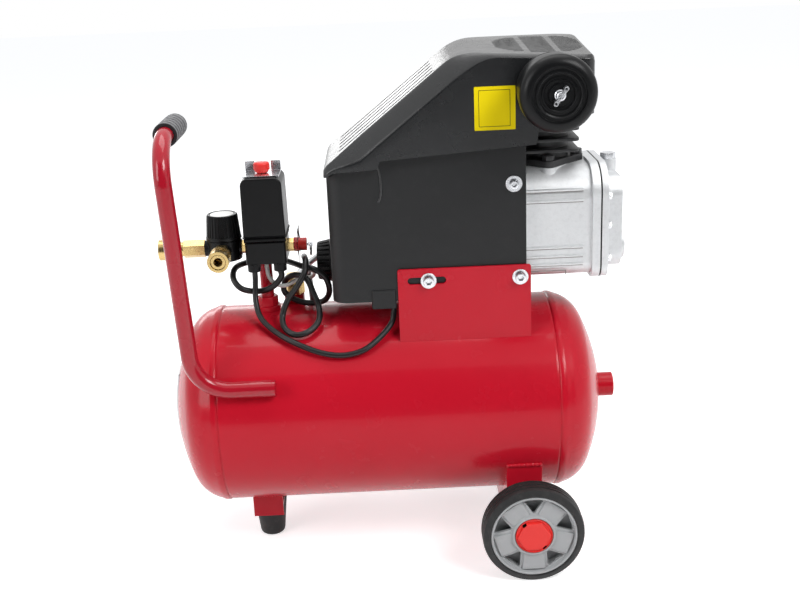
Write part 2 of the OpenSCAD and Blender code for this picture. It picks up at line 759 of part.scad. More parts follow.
module fan() color(black) object_frame() {
  difference() {
    union() {
      rod_x(fan_x0 + 2, fan_x1 - fan_x0 - 2, 17, 0, shaft_z);
      rod_x(fan_x1 - 3, 3, 58, 0, shaft_z);
      for (a = [0:36:324])
        translate([fan_x0 + 4, 0, shaft_z]) rotate([a, 0, 0]) translate([0, -1.2, 12])
          cube([fan_x1 - fan_x0 - 4, 2.4, 46]);
    }
    rod_x(fan_x0, 60, shaft_r + press_fit, 0, shaft_z);
  }
}

// Cowl, hood and the ribbed cap on the cowl's end

module cowl_plan(w) difference() {
  round_rect(cowl_x0 + w, cowl_x1 + 40, -cowl_half + w, cowl_half - w, 18 - w);
  translate([cowl_x1, -200]) square([100, 400]);
}

module motor_cowl() color(black) object_frame() difference() {
  union() {
    difference() {
      translate([0, 0, cowl_low]) linear_extrude(cowl_top - cowl_low) cowl_plan(0);
      translate([0, 0, cowl_low - 1]) linear_extrude(cowl_top - cowl_low + 2) cowl_plan(cowl_wall);
    }
    translate([-15, -cowl_half, cowl_low - 9]) cube([30, 24, 20]);
  }
  both_sides() {
    along_y(-cowl_half - 1, cowl_wall + 2)
      round_rect(front_bolt_x - 44, front_bolt_x + 24,
                 bolt_z - bolt_d / 2 - 1, bolt_z + bolt_d / 2 + 1, bolt_d / 2);
    rod_y(-cowl_half - 1, cowl_wall + 2, bolt_d / 2 + bolt_fit, rear_bolt_x, bolt_z);
    rod_y(-cowl_half - 1, cowl_wall + 2, 3 + bolt_fit, cowl_screw_x, cowl_screw_z);
  }
  for (i = [-5:5])
    translate([cowl_x0 - 1, i * 9 - 2.5, shaft_z + 8]) cube([cowl_wall + 2, 5, 58]);
  along_y(-100, 200) polygon([
    [cowl_x0 - 1, hood_low - 0.3], [end_gap_x, hood_low - 0.3], [end_gap_x, under_slope(end_gap_x)],
    [cowl_x0 + 40, under_slope(cowl_x0 + 40)], [cowl_x0 - 1, under_slope(cowl_x0 + 40)]]);
}

cap_len = 20;
module cowl_cap() color(black) object_frame()
  translate([cowl_x0, 13, 374]) rotate([0, -90, 0]) difference() {
  cylinder(h = cap_len, r1 = 28, r2 = 24);
  for (a = [0:15:345])
    rotate(a) translate([25, -1.2, 3]) rotate([0, -10, 0]) cube([12, 2.4, 30]);
  translate([0, 0, cap_len - 3]) cylinder(h = 5, r = 17);
}

// Closed form of the hood: its side view with the slope, crossed with its front view with round top edges
hood_edge = 18;
hood_left_z = cowl_top - 10;
hood_low = cowl_top - 17;
hood_right_z = cowl_top + 4;
hood_step_x = cowl_x1 + 10;
hood_step_z = cyl_top + 1;
slope_a = atan2(hood_top - hood_left_z, slope_x - cowl_x0);
end_gap_x = cowl_x0 + cowl_wall + 0.4;
function under_slope(x) =
  hood_left_z + (x - cowl_x0) * tan(slope_a) - cowl_wall / cos(slope_a) - 1;

module hood_side(w) polygon([
  [cowl_x0 + w, hood_low - 27], [cowl_x0 + w, hood_left_z + w * tan(slope_a) - w / cos(slope_a)],
  [slope_x - 14 + w * 0.3, hood_top - 11 - w], [slope_x + 2 + w * 0.2, hood_top - 2.5 - w],
  [slope_x + 18, hood_top - w],
  [hood_x1 - 4, hood_top - w], [hood_x1 - w, hood_top - 4 - w],
  [hood_x1 - w, hood_low - 27]]);

module hood_form(w) intersection() {
  along_y(-hood_half + w, 2 * (hood_half - w)) hood_side(w);
  along_x(cowl_x0 - 1, hood_x1 - cowl_x0 + 2)
    round_rect(-hood_half + w, hood_half - w, hood_low - 107, hood_top - w, hood_edge - w);
}

// Lower edge of the hood: a line that rises to the right, then steps up over the cylinder
module below_hood() along_y(-200, 400)
  polygon([[cowl_x0 - 20, hood_low - 107], [hood_x1 + 20, hood_low - 107], [hood_x1 + 20, hood_step_z],
           [hood_step_x + 6, hood_step_z], [hood_step_x, hood_right_z], [cowl_x0 - 20, hood_low - 1]]);

module hood() color(black) object_frame() {
  difference() {
    hood_form(0);
    hood_form(cowl_wall);
    below_hood();
    rod_y(-hood_half - 1, 20, intake_r + 2, filter_x, filter_z);
    rod_y(hood_half - 19, 20, 9, cyl_x, delivery_z);
    for (i = [-2:2])
      translate([cowl_x0 + 12, i * 24 - 2, hood_left_z + 12 * tan(slope_a) - 12])
        rotate([0, -slope_a, 0]) cube([170, 4, 24]);
    for (g = [-1:1])
      for (i = [-5:5])
        translate([slope_x + 94 + g * 36 - 15, i * 12 - 10, hood_top - 10]) cube([30, 5, 20]);
  }
  rod_z(head_top, hood_top - head_top - 1, 6, cyl_x, 0);
}

// Air filter

module filter_housing() color(black) object_frame() {
  rod_y(-filter_front - 6, filter_front + 6 - filter_back - 6, 3, filter_x, filter_z);
  difference() {
    rod_y(-filter_back - 6, 3, filter_d / 2 - 5 - press_fit, filter_x, filter_z);
    for (a = [0:60:300])
      translate([filter_x, 0, filter_z]) rotate([0, a, 0]) rod_y(-filter_back - 7, 6, 7, 18, 0);
  }
  difference() {
    filter_shell();
    rod_y(-filter_back - 10, 100, intake_r - 3, filter_x, filter_z);
  }
}

// Intake pipe and the open drum in front of it
module filter_shell() difference() {
  union() {
    rod_y(-filter_back, filter_back - head_w / 2, intake_r, filter_x, filter_z);
    rod_y(-filter_front + 24, filter_front - 24 - filter_back, filter_d / 2 - 2, filter_x, filter_z);
  }
  rod_y(-filter_front + 20, filter_front - 20 - filter_back - 3, filter_d / 2 - 5, filter_x, filter_z);
}

module filter_cover() color(black) object_frame()
  translate([filter_x, -filter_front + 24, filter_z]) rotate([90, 0, 0])
  difference() {
    rotate_extrude() {
      square([filter_d / 2 - 8, 24]);
      square([filter_d / 2, 16]);
      translate([filter_d / 2 - 8, 16]) circle(8);
    }
    translate([0, 0, -1]) cylinder(h = 20, r = filter_d / 2 - 4);
    for (r = [15, 24, 32])
      translate([0, 0, 22.4]) difference() {
        cylinder(h = 4, r = r + 2.4);
        translate([0, 0, -1]) cylinder(h = 6, r = r);
      }
    translate([0, 0, 15]) cylinder(h = 20, r = 3.3);
  }

module wing_nut() color(steel) object_frame()
  translate([filter_x, -filter_front - free_fit, filter_z]) rotate([0, -55, 0])
  difference() {
    union() {
      rotate([90, 0, 0]) cylinder(h = 7, r1 = 7, r2 = 5.5);
      for (s = [-1, 1])
        translate([s * 9 - 6, -9, -1.5]) cube([12, 6, 3]);
    }
    rotate([90, 0, 0]) translate([0, 0, -1]) cylinder(h = 20, r = 3 + run_fit);
  }

// Controls

module switch_base() color(black) object_frame() difference() {
  union() {
    translate([0, 0, base_low]) linear_extrude(switch_z - base_low)
      round_rect(switch_x - switch_half + 1, switch_x + switch_half - 1, -30, 28, 4);
    for (s = [-1, 1])
      rod_z(gland_low, base_low - gland_low, 8, switch_x + s * gland_dx, gland_y);
  }
  rod_z(base_low - 1, 16, riser_d / 2 - 3, riser_x, 0);
}

module cover_section(w) {
  h = switch_half - w;
  polygon([[-h, 0], [h, 0], [h - 1, switch_h - 9], [h - 9, switch_h - w],
           [9 - h, switch_h - w], [1 - h, switch_h - 9]]);
  for (s = [-1, 1])
    translate([s * (h - 9), switch_h - 9]) circle(9 - w);
}

module switch_cover() color(black) object_frame() difference() {
  along_y(-30, 60) translate([switch_x, switch_z]) cover_section(0);
  along_y(-27.5, 55) translate([switch_x, switch_z - 0.01]) cover_section(2.5);
  rod_z(switch_z + switch_h - 8, 20, 5 + free_fit, switch_x, 0);
}

module switch_bracket() color(steel) object_frame() difference() {
  translate([switch_x - 22, 0, switch_z + switch_h]) {
    translate([0, -22, 0]) cube([44, 40, 1.5]);
    translate([0, 16.5, 0]) cube([12, 1.5, 13]);
    translate([32, 16.5, 0]) cube([12, 1.5, 13]);
  }
  rod_z(switch_z + switch_h - 1, 4, 5 + free_fit, switch_x, 0);
}

// On and off knob, drawn pushed down
module switch_knob() color(red) object_frame() {
  rod_z(switch_z + switch_h - 12, 20, 5, switch_x, 0);
  translate([switch_x, 0, switch_z + switch_h + 2.1]) {
    cylinder(h = 4, r1 = 7.5, r2 = 10);
    translate([0, 0, 4]) cylinder(h = 9, r = 10);
  }
}

module regulator_body() color(black) object_frame() {
  difference() {
    union() {
      rod_z(port_z - 14, 25, knob_r - 1, regulator_x, 0);
      rod_x(regulator_x - knob_r - 2, 2 * knob_r + 2, 10, 0, port_z);
      rod_y(-knob_r - 4, knob_r, 10, regulator_x, port_z);
    }
    rod_x(regulator_x - 60, 120, 4, 0, port_z);
    rod_y(-80, 80, 4, regulator_x, port_z);
  }
  rod_z(port_z + 11, knob_h - 8, 5, regulator_x, 0);
}

module regulator_knob() color(black) object_frame() translate([regulator_x, 0, knob_z]) difference() {
  cylinder(h = knob_h, r1 = knob_r, r2 = knob_r - 3);
  translate([0, 0, -1]) cylinder(h = knob_h - 7, r = 5 + run_fit);
  for (a = [0:20:340])
    rotate(a) translate([knob_r - 1.6, -1.6, 4]) rotate([0, -4.4, 0]) cube([6, 3.2, knob_h]);
  translate([0, 0, knob_h - 1.5]) cylinder(h = 3, r = knob_r - 7);
}

module knob_disc() color(white) object_frame()
  rod_z(knob_z + knob_h - 1.5, 1.2, knob_r - 7.2, regulator_x, 0);

// Quick coupler body drawn along +Z from its thread; the sleeve slides back over it
module coupler_body(len) difference() {
  union() {
    cylinder(h = len - 1, r = coupler_r);
    cylinder(h = len - sleeve_len - sleeve_travel - 1.5, d = 20 / cos(30), $fn = 6);
  }
  translate([0, 0, len - 24]) cylinder(h = 30, d = coupler_bore);
  translate([0, 0, -1]) cylinder(h = len, r = 4);
}

module coupler_sleeve(len) translate([0, 0, len - sleeve_len]) difference() {
  cylinder(h = sleeve_len, r = sleeve_r);
  translate([0, 0, -1]) cylinder(h = sleeve_len + 2, r = coupler_r + free_fit);
  for (z = [4, 8, 12])
    translate([0, 0, z]) difference() {
      cylinder(h = 1.6, r = sleeve_r + 2);
      cylinder(h = 1.6, r = sleeve_r - 1);
    }
}

front_len = front_end - knob_r - 4;
left_len = left_end + regulator_x - knob_r - 2;
module front_place() translate([regulator_x, -knob_r - 4, port_z]) rotate([90, 0, 0]) children();
module left_place() translate([regulator_x - knob_r - 2, 0, port_z]) rotate([0, -90, 0]) children();

module brass_fittings() color(brass) object_frame() {
  front_place() coupler_body(front_len);
  left_place() coupler_body(left_len);
  difference() {
    hex_x(regulator_x + knob_r, switch_x - switch_half + 1 - regulator_x - knob_r, 15, 0, port_z);
    rod_x(regulator_x, 60, 4, 0, port_z);
  }
  difference() {
    hex_x(switch_x + switch_half - 1, 8, 15, 0, port_z);
    rod_x(switch_x, 60, 4, 0, port_z);
  }
  difference() {
    hex_z(tank_lift - 20, 12, 12, drain_x, 0);
    rod_z(tank_lift - 30, 40, 3 + free_fit, drain_x, 0);
  }
}

module front_sleeve() color(brass) object_frame() front_place() coupler_sleeve(front_len);
module left_sleeve() color(brass) object_frame() left_place() coupler_sleeve(left_len);

safety_x = switch_x + switch_half + 7;
safety_len = 16;
module safety_valve() color(red) object_frame() difference() {
  union() {
    hex_x(safety_x, 6, 16, 0, port_z);
    rod_x(safety_x, safety_len, 8, 0, port_z);
  }
  rod_x(safety_x + 8, 40, 2 + free_fit, 0, port_z);
}

ring_r = 7;
module safety_ring() color(brass) object_frame() {
  difference() {
    union() {
      rod_x(safety_x + 9, safety_len - 7, 2, 0, port_z);
      translate([safety_x + safety_len + 1.5, -1.4, port_z - 3]) cube([6, 2.8, 6]);
    }
    rod_y(-5, 10, 1.6, safety_x + safety_len + 4.5, port_z);
  }
  translate([safety_x + safety_len + 4.5, 0, port_z - ring_r]) rotate([0, 90, 0])
    rotate_extrude() translate([ring_r, 0]) circle(1.1, $fn = 24);
}

module check_valve() color(brass) object_frame() difference() {
  union() {
    hex_z(tank_top - 7 + 17, 14, 24, valve_x, valve_y);
    rod_z(tank_top + 24, 12, 9, valve_x, valve_y);
    rod_y(valve_y, 20, 6.5, valve_x, tank_top + 17);
    rod_x(valve_x, 16, 5, valve_y, tank_top + 30);
  }
  rod_z(tank_top + 5, 26, 5, valve_x, valve_y);
  rod_y(valve_y, 40, 4.5, valve_x, tank_top + 17);
}

// Tubes and cords follow routes of hand chosen points, joined by a smooth curve

function unit(v) = v / norm(v);
function blend(a, b, c, d, t) =
  0.5 * (2 * b + (c - a) * t + (2 * a - 5 * b + 4 * c - d) * t * t + (3 * b - a - 3 * c + d) * t * t * t);
function smooth(p, n) = concat(
  [for (i = [0:len(p) - 2]) for (k = [0:n - 1])
    blend(p[max(i - 1, 0)], p[i], p[i + 1], p[min(i + 2, len(p) - 1)], k / n)],
  [p[len(p) - 1]]);
function tangents(p) = [for (i = [0:len(p) - 1]) unit(p[min(i + 1, len(p) - 1)] - p[max(i - 1, 0)])];
function square_to(t) = unit(cross(t, abs(t[2]) < 0.9 ? [0, 0, 1] : [1, 0, 0]));
function carried(t, n = []) = len(n) == len(t) ? n :
  carried(t, concat(n, [let (i = len(n))
    i == 0 ? square_to(t[0]) : unit(n[i - 1] - (n[i - 1] * t[i]) * t[i])]));
function least_gap(p, d, skip) =
  min([for (i = [0:len(p) - 1 - skip]) min([for (j = [i + skip:len(p) - 1]) norm(p[i] - p[j])])]) - d;

// Tube of the given number of sides along a line of points
module tube(p, r, sides) {
  t = tangents(p);
  n = carried(t);
  last = len(p) - 1;
  points = [for (i = [0:last]) for (k = [0:sides - 1]) let (a = 360 * k / sides)
    p[i] + r * (cos(a) * n[i] + sin(a) * cross(t[i], n[i]))];
  walls = [for (i = [0:last - 1]) for (k = [0:sides - 1])
    let (a = i * sides + k, b = i * sides + (k + 1) % sides)
    for (f = [[a, a + sides, b + sides], [a, b + sides, b]]) f];
  ends = [[for (k = [0:sides - 1]) k], [for (k = [sides - 1:-1:0]) last * sides + k]];
  polyhedron(points, concat(walls, ends), convexity = 10);
}

// Delivery pipe: from the check valve up the far side to the cylinder head
pipe_route = [
  [valve_x, valve_y + 20, tank_top + 17], [valve_x, valve_y + 32, tank_top + 17], [-112, 84, 338],
  [-96, 102, 348], [-60, 106, 372], [40, 106, 450], [140, 106, 534], [178, 106, 564], [196, 102, 576],
  [cyl_x, 86, delivery_z], [cyl_x, 62, delivery_z], [cyl_x, head_w / 2, delivery_z]
];
module delivery_pipe() color(alu) object_frame() tube(smooth(pipe_route, 4), 4.4, 12);

// Pale unloader tube: from the switch to the check valve
unloader_route = [
  [-144, -14, base_low], [-144, -14, 374], [-142, -13, 362], [-134, -13, 353], [-123, -14, 351],
  [-111, -11, 356], [-101, -5, 362], [-93, 4, 364], [-89, 17, 359], [-89, 27, 351],
  [-94, valve_y, tank_top + 30], [valve_x + 16, valve_y, tank_top + 30]
];
module unloader_tube() color(white) object_frame() tube(smooth(unloader_route, 3), 2.5, 8);

// Motor cable: from the block under the cowl, over the tank's shoulder, to the switch's left gland
cable_route = [
  [11, -62, cowl_low - 9], [11, -62, 326], [8, -66, 314], [-4, -76, 302], [-24, -89, 290], [-44, -93, 285],
  [-63, -93, 285], [-84, -89, 289], [-105, -82, 296], [-124, -72, 303], [-142, -58, 312], [-154, -44, 322],
  [-159, -33, 338], [-159, -26, 354], [switch_x - gland_dx, gland_y, 365],
  [switch_x - gland_dx, gland_y, gland_low]
];
module motor_cable() color(rubber) object_frame() tube(smooth(cable_route, 3), cable_d / 2, 8);

// Mains lead: from the right gland around the riser, through the tie, two loops, then down behind the tank
coil_x = 5;
coil_r = 44;
coil_z = lead_d / 2 + 0.5;
coil_y = 133 + coil_r;
lead_route = [
  [switch_x + gland_dx, gland_y, gland_low], [switch_x + gland_dx, gland_y, 365], [-139, -22, 352],
  [-158, -17, 346], [-177, -19, 351], [-187, -12, 362], [-186, 4, 371], [-174, 20, 373], [-150, 29, 374],
  [-128, 19, 375], [-113, 0, 376], [-99, -18, 376], [-84, -27, 374], [-71, -27, 362], [-68, -21, 343],
  [-76, -11, 328], [-95, -6, 324], [-114, -3, 329], [-126, -3, 341], [-122, -4, 356], [-109, -20, 366],
  [-95, -31, 364], [-87, -35, 346], [-81, -40, 328], [-82, -54, 315], [-94, -67, 307], [-110, -70, 305],
  [-123, -61, 311], [-126, -46, 322], [-119, -42, 340], [-106, -42, 358], [-96, -38, 374], [-95, -24, 385],
  [-98, 0, 383], [-99, 24, 375], [-98, 60, 345], [-98, 100, 293], [-98, 129, 225], [-98, 133, 150],
  [-94, 133, 80], [-78, 133, 28], [-48, 133, 7], [-20, 133, coil_z], [coil_x, coil_y - coil_r, coil_z]
];
module mains_lead() color(rubber) object_frame() tube(smooth(lead_route, 2), lead_d / 2, 8);

// Coil: two layers of two turns, spiralling in and out again, climbing a layer where the spiral reverses
coil_turns = 4;
coil_pitch = lead_d + 0.8;
plug_x = coil_x + 34;
plug_z = 19;
function coil_rise(t) = t < 1.75 ? 0 : (t > 2.25 ? 1 : (t - 1.75) * 2);
function coil_point(t) = let (r = coil_r - coil_pitch * (2 - abs(t - 2)), a = 360 * t - 90)
  [coil_x + r * cos(a), coil_y + r * sin(a), coil_z + coil_pitch * coil_rise(t)];
coil_path = concat(
  [for (i = [0:coil_turns * 24]) coil_point(i / 24)],
  smooth([coil_point(coil_turns) + [10, 0, 1], coil_point(coil_turns) + [18, 0, 4.5],
          [plug_x - lead_d, coil_y - coil_r, plug_z], [plug_x, coil_y - coil_r, plug_z]], 2));
module lead_coil() color(rubber) object_frame() tube(coil_path, lead_d / 2, 6);
echo(coil_self_gap = least_gap(coil_path, lead_d, 5));
echo(lead_self_gap = least_gap(smooth(lead_route, 4), lead_d, 6));

// Two pin plug at the end of the coil
module lead_plug() color(rubber) object_frame()
  translate([plug_x, coil_y - coil_r, plug_z]) rotate([0, 90, 0]) {
  cylinder(h = 22, r1 = 6, r2 = 10);
  translate([0, 0, 22]) cylinder(h = 8, r1 = 12, r2 = 18);
  translate([0, 0, 30]) cylinder(h = 14, r = 18);
  for (s = [-1, 1])
    translate([0, s * 9.5, 44]) cylinder(h = 19, r = 2.4);
}

tank_shell();
tank_heads();
tank_ports();
data_plate();
handle_tube();
handle_grip();
saddle_plates();
bolts();
wheel_bracket();
axle();
near_tyre();
near_rim();
near_cap();
far_tyre();
far_rim();
far_cap();
foot_bracket();
rubber_foot();
drain_screw();
crankcase();
cover_gasket();
crankcase_cover();
sight_glass();
oil_plug();
cylinder_block();
valve_plate();
cylinder_head();
piston();
con_rod();
motor_housing();
stator();
rotor();
crankshaft();
bearings();
fan();
motor_cowl();
cowl_cap();
hood();
filter_housing();
filter_cover();
wing_nut();
switch_base();
switch_cover();
switch_bracket();
switch_knob();
regulator_body();
regulator_knob();
knob_disc();
brass_fittings();
front_sleeve();
left_sleeve();
safety_valve();
safety_ring();
check_valve();
delivery_pipe();
unloader_tube();
motor_cable();
mains_lead();
lead_coil();
lead_plug();
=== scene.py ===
# %% [markdown]
# # A hotdog air compressor
#
# The receiver lies on its side like a sausage in a bun, which gives this kind of compressor its nickname.
# The pump and its motor ride on top under a black hood. Every size here is in millimetres from the middle
# of the receiver, as a workshop drawing has it, and `at` turns such a place into the metres of the shared
# frame.

# %% Load the frame
import json
import math

import bpy
from mathutils import Matrix, Vector

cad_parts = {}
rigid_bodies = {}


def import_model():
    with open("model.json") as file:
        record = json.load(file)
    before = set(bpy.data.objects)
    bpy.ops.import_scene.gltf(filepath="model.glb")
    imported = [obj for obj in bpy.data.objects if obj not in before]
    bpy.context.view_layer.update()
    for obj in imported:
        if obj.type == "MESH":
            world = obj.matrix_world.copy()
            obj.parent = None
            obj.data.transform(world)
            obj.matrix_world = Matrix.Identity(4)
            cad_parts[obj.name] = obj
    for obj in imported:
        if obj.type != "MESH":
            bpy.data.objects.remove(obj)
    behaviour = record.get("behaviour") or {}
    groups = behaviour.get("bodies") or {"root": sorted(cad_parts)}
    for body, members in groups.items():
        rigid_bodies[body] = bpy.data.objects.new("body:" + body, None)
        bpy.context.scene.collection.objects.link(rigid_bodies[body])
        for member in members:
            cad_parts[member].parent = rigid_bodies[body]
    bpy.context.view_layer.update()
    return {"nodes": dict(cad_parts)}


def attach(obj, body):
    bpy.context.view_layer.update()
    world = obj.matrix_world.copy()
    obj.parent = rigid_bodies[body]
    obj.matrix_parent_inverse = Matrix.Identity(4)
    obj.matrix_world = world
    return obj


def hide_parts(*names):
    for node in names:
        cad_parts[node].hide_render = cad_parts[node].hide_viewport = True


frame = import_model()
MM = 0.001
ROW_MIDDLE = 12


def at(x, y, z):
    """The place of a drawing point in the frame."""
    return Vector(((x - ROW_MIDDLE) * MM, y * MM, z * MM))


def clear_selection():
    bpy.ops.object.select_all(action="DESELECT")


clear_selection()

# %% [markdown]
# ## The camera
#
# A photograph can be matched by guessing a lens and nudging the camera, or by solving for it. Here the
# tank's outline, the wheel and the foot gave seven numbers: where the camera stands, which way it looks,
# how it is rolled and how long its lens is. The camera looks down by eighteen degrees and is rolled by two.

# %% Place the camera
YAW, PITCH, ROLL = 0.0126, 0.3183, -0.0416
STAND = (2.87, -1349.5, 765.1)
FOCAL_PIXELS, PICTURE_WIDTH = 1115.78, 800
lens = bpy.data.cameras.new("photo_camera")
lens.sensor_width = 36.0
lens.lens = lens.sensor_width * FOCAL_PIXELS / PICTURE_WIDTH
camera = bpy.data.objects.new("photo_camera", lens)
bpy.context.scene.collection.objects.link(camera)
camera.matrix_world = (
    Matrix.Translation(at(*STAND))
    @ Matrix.Rotation(-YAW, 4, "Z")
    @ Matrix.Rotation(math.pi / 2 - PITCH, 4, "X")
    @ Matrix.Rotation(ROLL, 4, "Z")
)
bpy.context.scene.camera = camera
print(f"lens {lens.lens:.1f} mm")

# %% [markdown]
# ## Shader arithmetic
#
# Materials are easier to read as sums than as nodes and links. One small class holds a socket. Adding or
# multiplying two of them adds a Math node, and `node` makes any other node with its settings and its
# inputs.


# %% A socket that can be calculated with
class Wire:
    """A socket of a material's tree. Sums of wires add the nodes that work them out."""

    def __init__(self, tree, socket=None):
        self.tree = tree
        self.socket = socket

    def node(self, kind, settings=None, inputs=None, output=0):
        """Add a node, set it up, feed its inputs, and hold one of its outputs."""
        made = self.tree.nodes.new("ShaderNode" + kind)
        for name, value in (settings or {}).items():
            if name == "stops":
                while len(made.color_ramp.elements) < len(value):
                    made.color_ramp.elements.new(0.5)
                for stop, (place, shade) in zip(made.color_ramp.elements, value):
                    stop.position = place
                    stop.color = (shade, shade, shade, 1)
            else:
                setattr(made, name, value)
        for name, value in (inputs or {}).items():
            self.feed(made.inputs[name], value)
        return Wire(self.tree, made.outputs[output])

    def feed(self, socket, value):
        """Link a wire to a socket, or set a plain value on it."""
        if isinstance(value, Wire):
            self.tree.links.new(value.socket, socket)
        elif isinstance(value, tuple) and len(value) == 3 and socket.type == "RGBA":
            socket.default_value = (*value, 1)
        else:
            socket.default_value = value

    def math(self, operation, *values):
        return self.node("Math", {"operation": operation}, dict(enumerate(values)))

    def __add__(self, other):
        return self.math("ADD", self, other)

    def __sub__(self, other):
        return self.math("SUBTRACT", self, other)

    def __rsub__(self, other):
        return self.math("SUBTRACT", other, self)

    def __mul__(self, other):
        return self.math("MULTIPLY", self, other)

    __radd__ = __add__
    __rmul__ = __mul__

    def blend(self, low, high):
        """The colour that goes from low to high as this wire goes from 0 to 1."""
        return self.node("Mix", {"data_type": "RGBA"}, {0: self, 6: low, 7: high}, 2)

    def ramp(self, *stops):
        return self.node("ValToRGB", {"stops": stops}, {0: self})


print("socket arithmetic is ready")


# %% Starting a finish
def finish(name, **constants):
    """A new material, its shader with the constant inputs set, and a wire with object coordinates."""
    material = bpy.data.materials.new(name)
    material.use_nodes = True
    shader = material.node_tree.nodes["Principled BSDF"]
    place = Wire(material.node_tree).node("TexCoord", output="Object")
    for socket, value in constants.items():
        place.feed(shader.inputs[socket.replace("_", " ").title().replace("Ior", "IOR")], value)
    return material, shader, place


def noise(place, scale, detail=3.0, roughness=0.5):
    """Cloudy noise from 0 to 1, with so many lumps to the metre."""
    inputs = {"Vector": place, "Scale": scale, "Detail": detail, "Roughness": roughness}
    return place.node("TexNoise", {}, inputs)


def surface(shader, colour, rough):
    """Feed the shader's colour and its roughness."""
    colour.feed(shader.inputs["Base Color"], colour)
    rough.feed(shader.inputs["Roughness"], rough)


def bumped(shader, height, distance, strength):
    """Let a height, in units of the distance, tilt the shader's normal."""
    bump = height.node("Bump", {}, {"Height": height, "Distance": distance, "Strength": strength})
    height.feed(shader.inputs["Normal"], bump)


print("colour, roughness and bump can be fed")

# %% [markdown]
# ## Finishes
#
# Each finish starts from what a maker would order: stove enamel, grained polypropylene, bead-blasted
# casting, bright zinc, turned brass, rubber. Enamel is nearly flat with a slow ripple that painters call
# orange peel, so its bump is wide and very shallow. Moulded plastic has a fine etched grain that breaks up
# its highlights.


# %% Red enamel
def make_enamel(name, low, high, coat):
    """Stove enamel between two close shades, under a clear coat of at least the given weight."""
    material, shader, place = finish(name, specular_ior_level=0.15, coat_roughness=0.05, coat_ior=1.45)
    cloud = noise(place, 7.0, 4.0)
    speck = noise(place, 900.0, 2.0).ramp((0.70, 0.0), (0.78, 1.0))
    colour = (speck * 0.25).blend(cloud.blend(low, high), (0.30, 0.012, 0.018))
    surface(shader, colour, 0.20 + 0.12 * noise(place, 30.0, 5.0))
    place.feed(shader.inputs["Coat Weight"], coat + 0.12 * cloud)
    peel = noise(place, 150.0, 2.0) + 0.4 * noise(place, 420.0, 2.0)
    bumped(shader, peel, 0.00030, 0.35)
    return material


RED_ENAMEL = make_enamel("red_enamel", (0.490, 0.0065, 0.0190), (0.560, 0.0090, 0.0250), coat=0.10)
# The handle has the tank's red paint: this copy's darker base is painted shade, and its thicker clear coat
# gives sharper highlights.
SHADED_TUBE_ENAMEL = make_enamel("shaded_tube_enamel", (0.360, 0.0060, 0.0170), (0.420, 0.0080, 0.0220), coat=0.60)
print("enamels:", RED_ENAMEL.name, SHADED_TUBE_ENAMEL.name)


# %% Moulded plastics
def make_plastic(name, low, high, rough, grain, depth, shine=0.30):
    """Etched plastic: two close shades, a roughness that drifts, and a fine grain."""
    material, shader, place = finish(name, specular_ior_level=shine)
    cloud = noise(place, 14.0, 4.0)
    shade = cloud.blend(low, high)
    dust = noise(place, 60.0, 6.0, 0.7).ramp((0.52, 0.0), (0.80, 1.0))
    pale = tuple(min(1.0, 1.3 * v + 0.004) for v in high)
    surface(shader, (dust * 0.35).blend(shade, pale), (rough - 0.06) + 0.12 * noise(place, 45.0, 5.0))
    bumped(shader, noise(place, grain, 3.0, 0.6), depth, 0.55)
    return material


GRAINED_BLACK = make_plastic("grained_black", (0.0100, 0.0104, 0.0112), (0.0150, 0.0156, 0.0166),
                             rough=0.26, grain=1500.0, depth=0.00014, shine=0.55)
COWL_BLACK = make_plastic("cowl_black", (0.0085, 0.0088, 0.0094), (0.0125, 0.0129, 0.0136),
                          rough=0.48, grain=1500.0, depth=0.00030, shine=0.34)
SATIN_BLACK = make_plastic("satin_black", (0.0042, 0.0044, 0.0048), (0.0070, 0.0073, 0.0078),
                           rough=0.33, grain=1100.0, depth=0.00012, shine=0.18)
SLOT_SHADOW = make_plastic("slot_shadow", (0.0010, 0.0010, 0.0011), (0.0022, 0.0022, 0.0024),
                           rough=0.85, grain=900.0, depth=0.00005, shine=0.05)
RIM_GREY = make_plastic("rim_grey", (0.375, 0.385, 0.392), (0.435, 0.444, 0.450),
                        rough=0.42, grain=1200.0, depth=0.00012)
SIGNAL_RED = make_plastic("signal_red", (0.80, 0.036, 0.031), (0.88, 0.047, 0.040),
                          rough=0.34, grain=900.0, depth=0.00008)
PALE_PLASTIC = make_plastic("pale_plastic", (0.70, 0.70, 0.67), (0.80, 0.80, 0.77),
                            rough=0.38, grain=700.0, depth=0.00008)
print(len(bpy.data.materials), "materials with the plastics")


# %% Rubber
def make_rubber(name, low, high, rough, dust_share):
    """Dull rubber with pale dust on part of it."""
    material, shader, place = finish(name, specular_ior_level=0.35)
    cloud = noise(place, 25.0, 5.0)
    dust = noise(place, 110.0, 6.0, 0.7).ramp((0.50, 0.0), (0.85, 1.0))
    colour = (dust * dust_share).blend(cloud.blend(low, high), (0.10, 0.095, 0.09))
    surface(shader, colour, (rough - 0.08) + 0.16 * noise(place, 70.0, 5.0))
    bumped(shader, noise(place, 1300.0, 2.0), 0.00018, 0.5)
    return material


TYRE_RUBBER = make_rubber("tyre_rubber", (0.0120, 0.0120, 0.0125), (0.0200, 0.0200, 0.0205),
                          rough=0.56, dust_share=0.36)
CORD_RUBBER = make_rubber("cord_rubber", (0.0065, 0.0065, 0.0070), (0.0100, 0.0100, 0.0105),
                          rough=0.36, dust_share=0.10)
RINGS_PER_METRE, RING_SHIFT = 83.333, 25.078


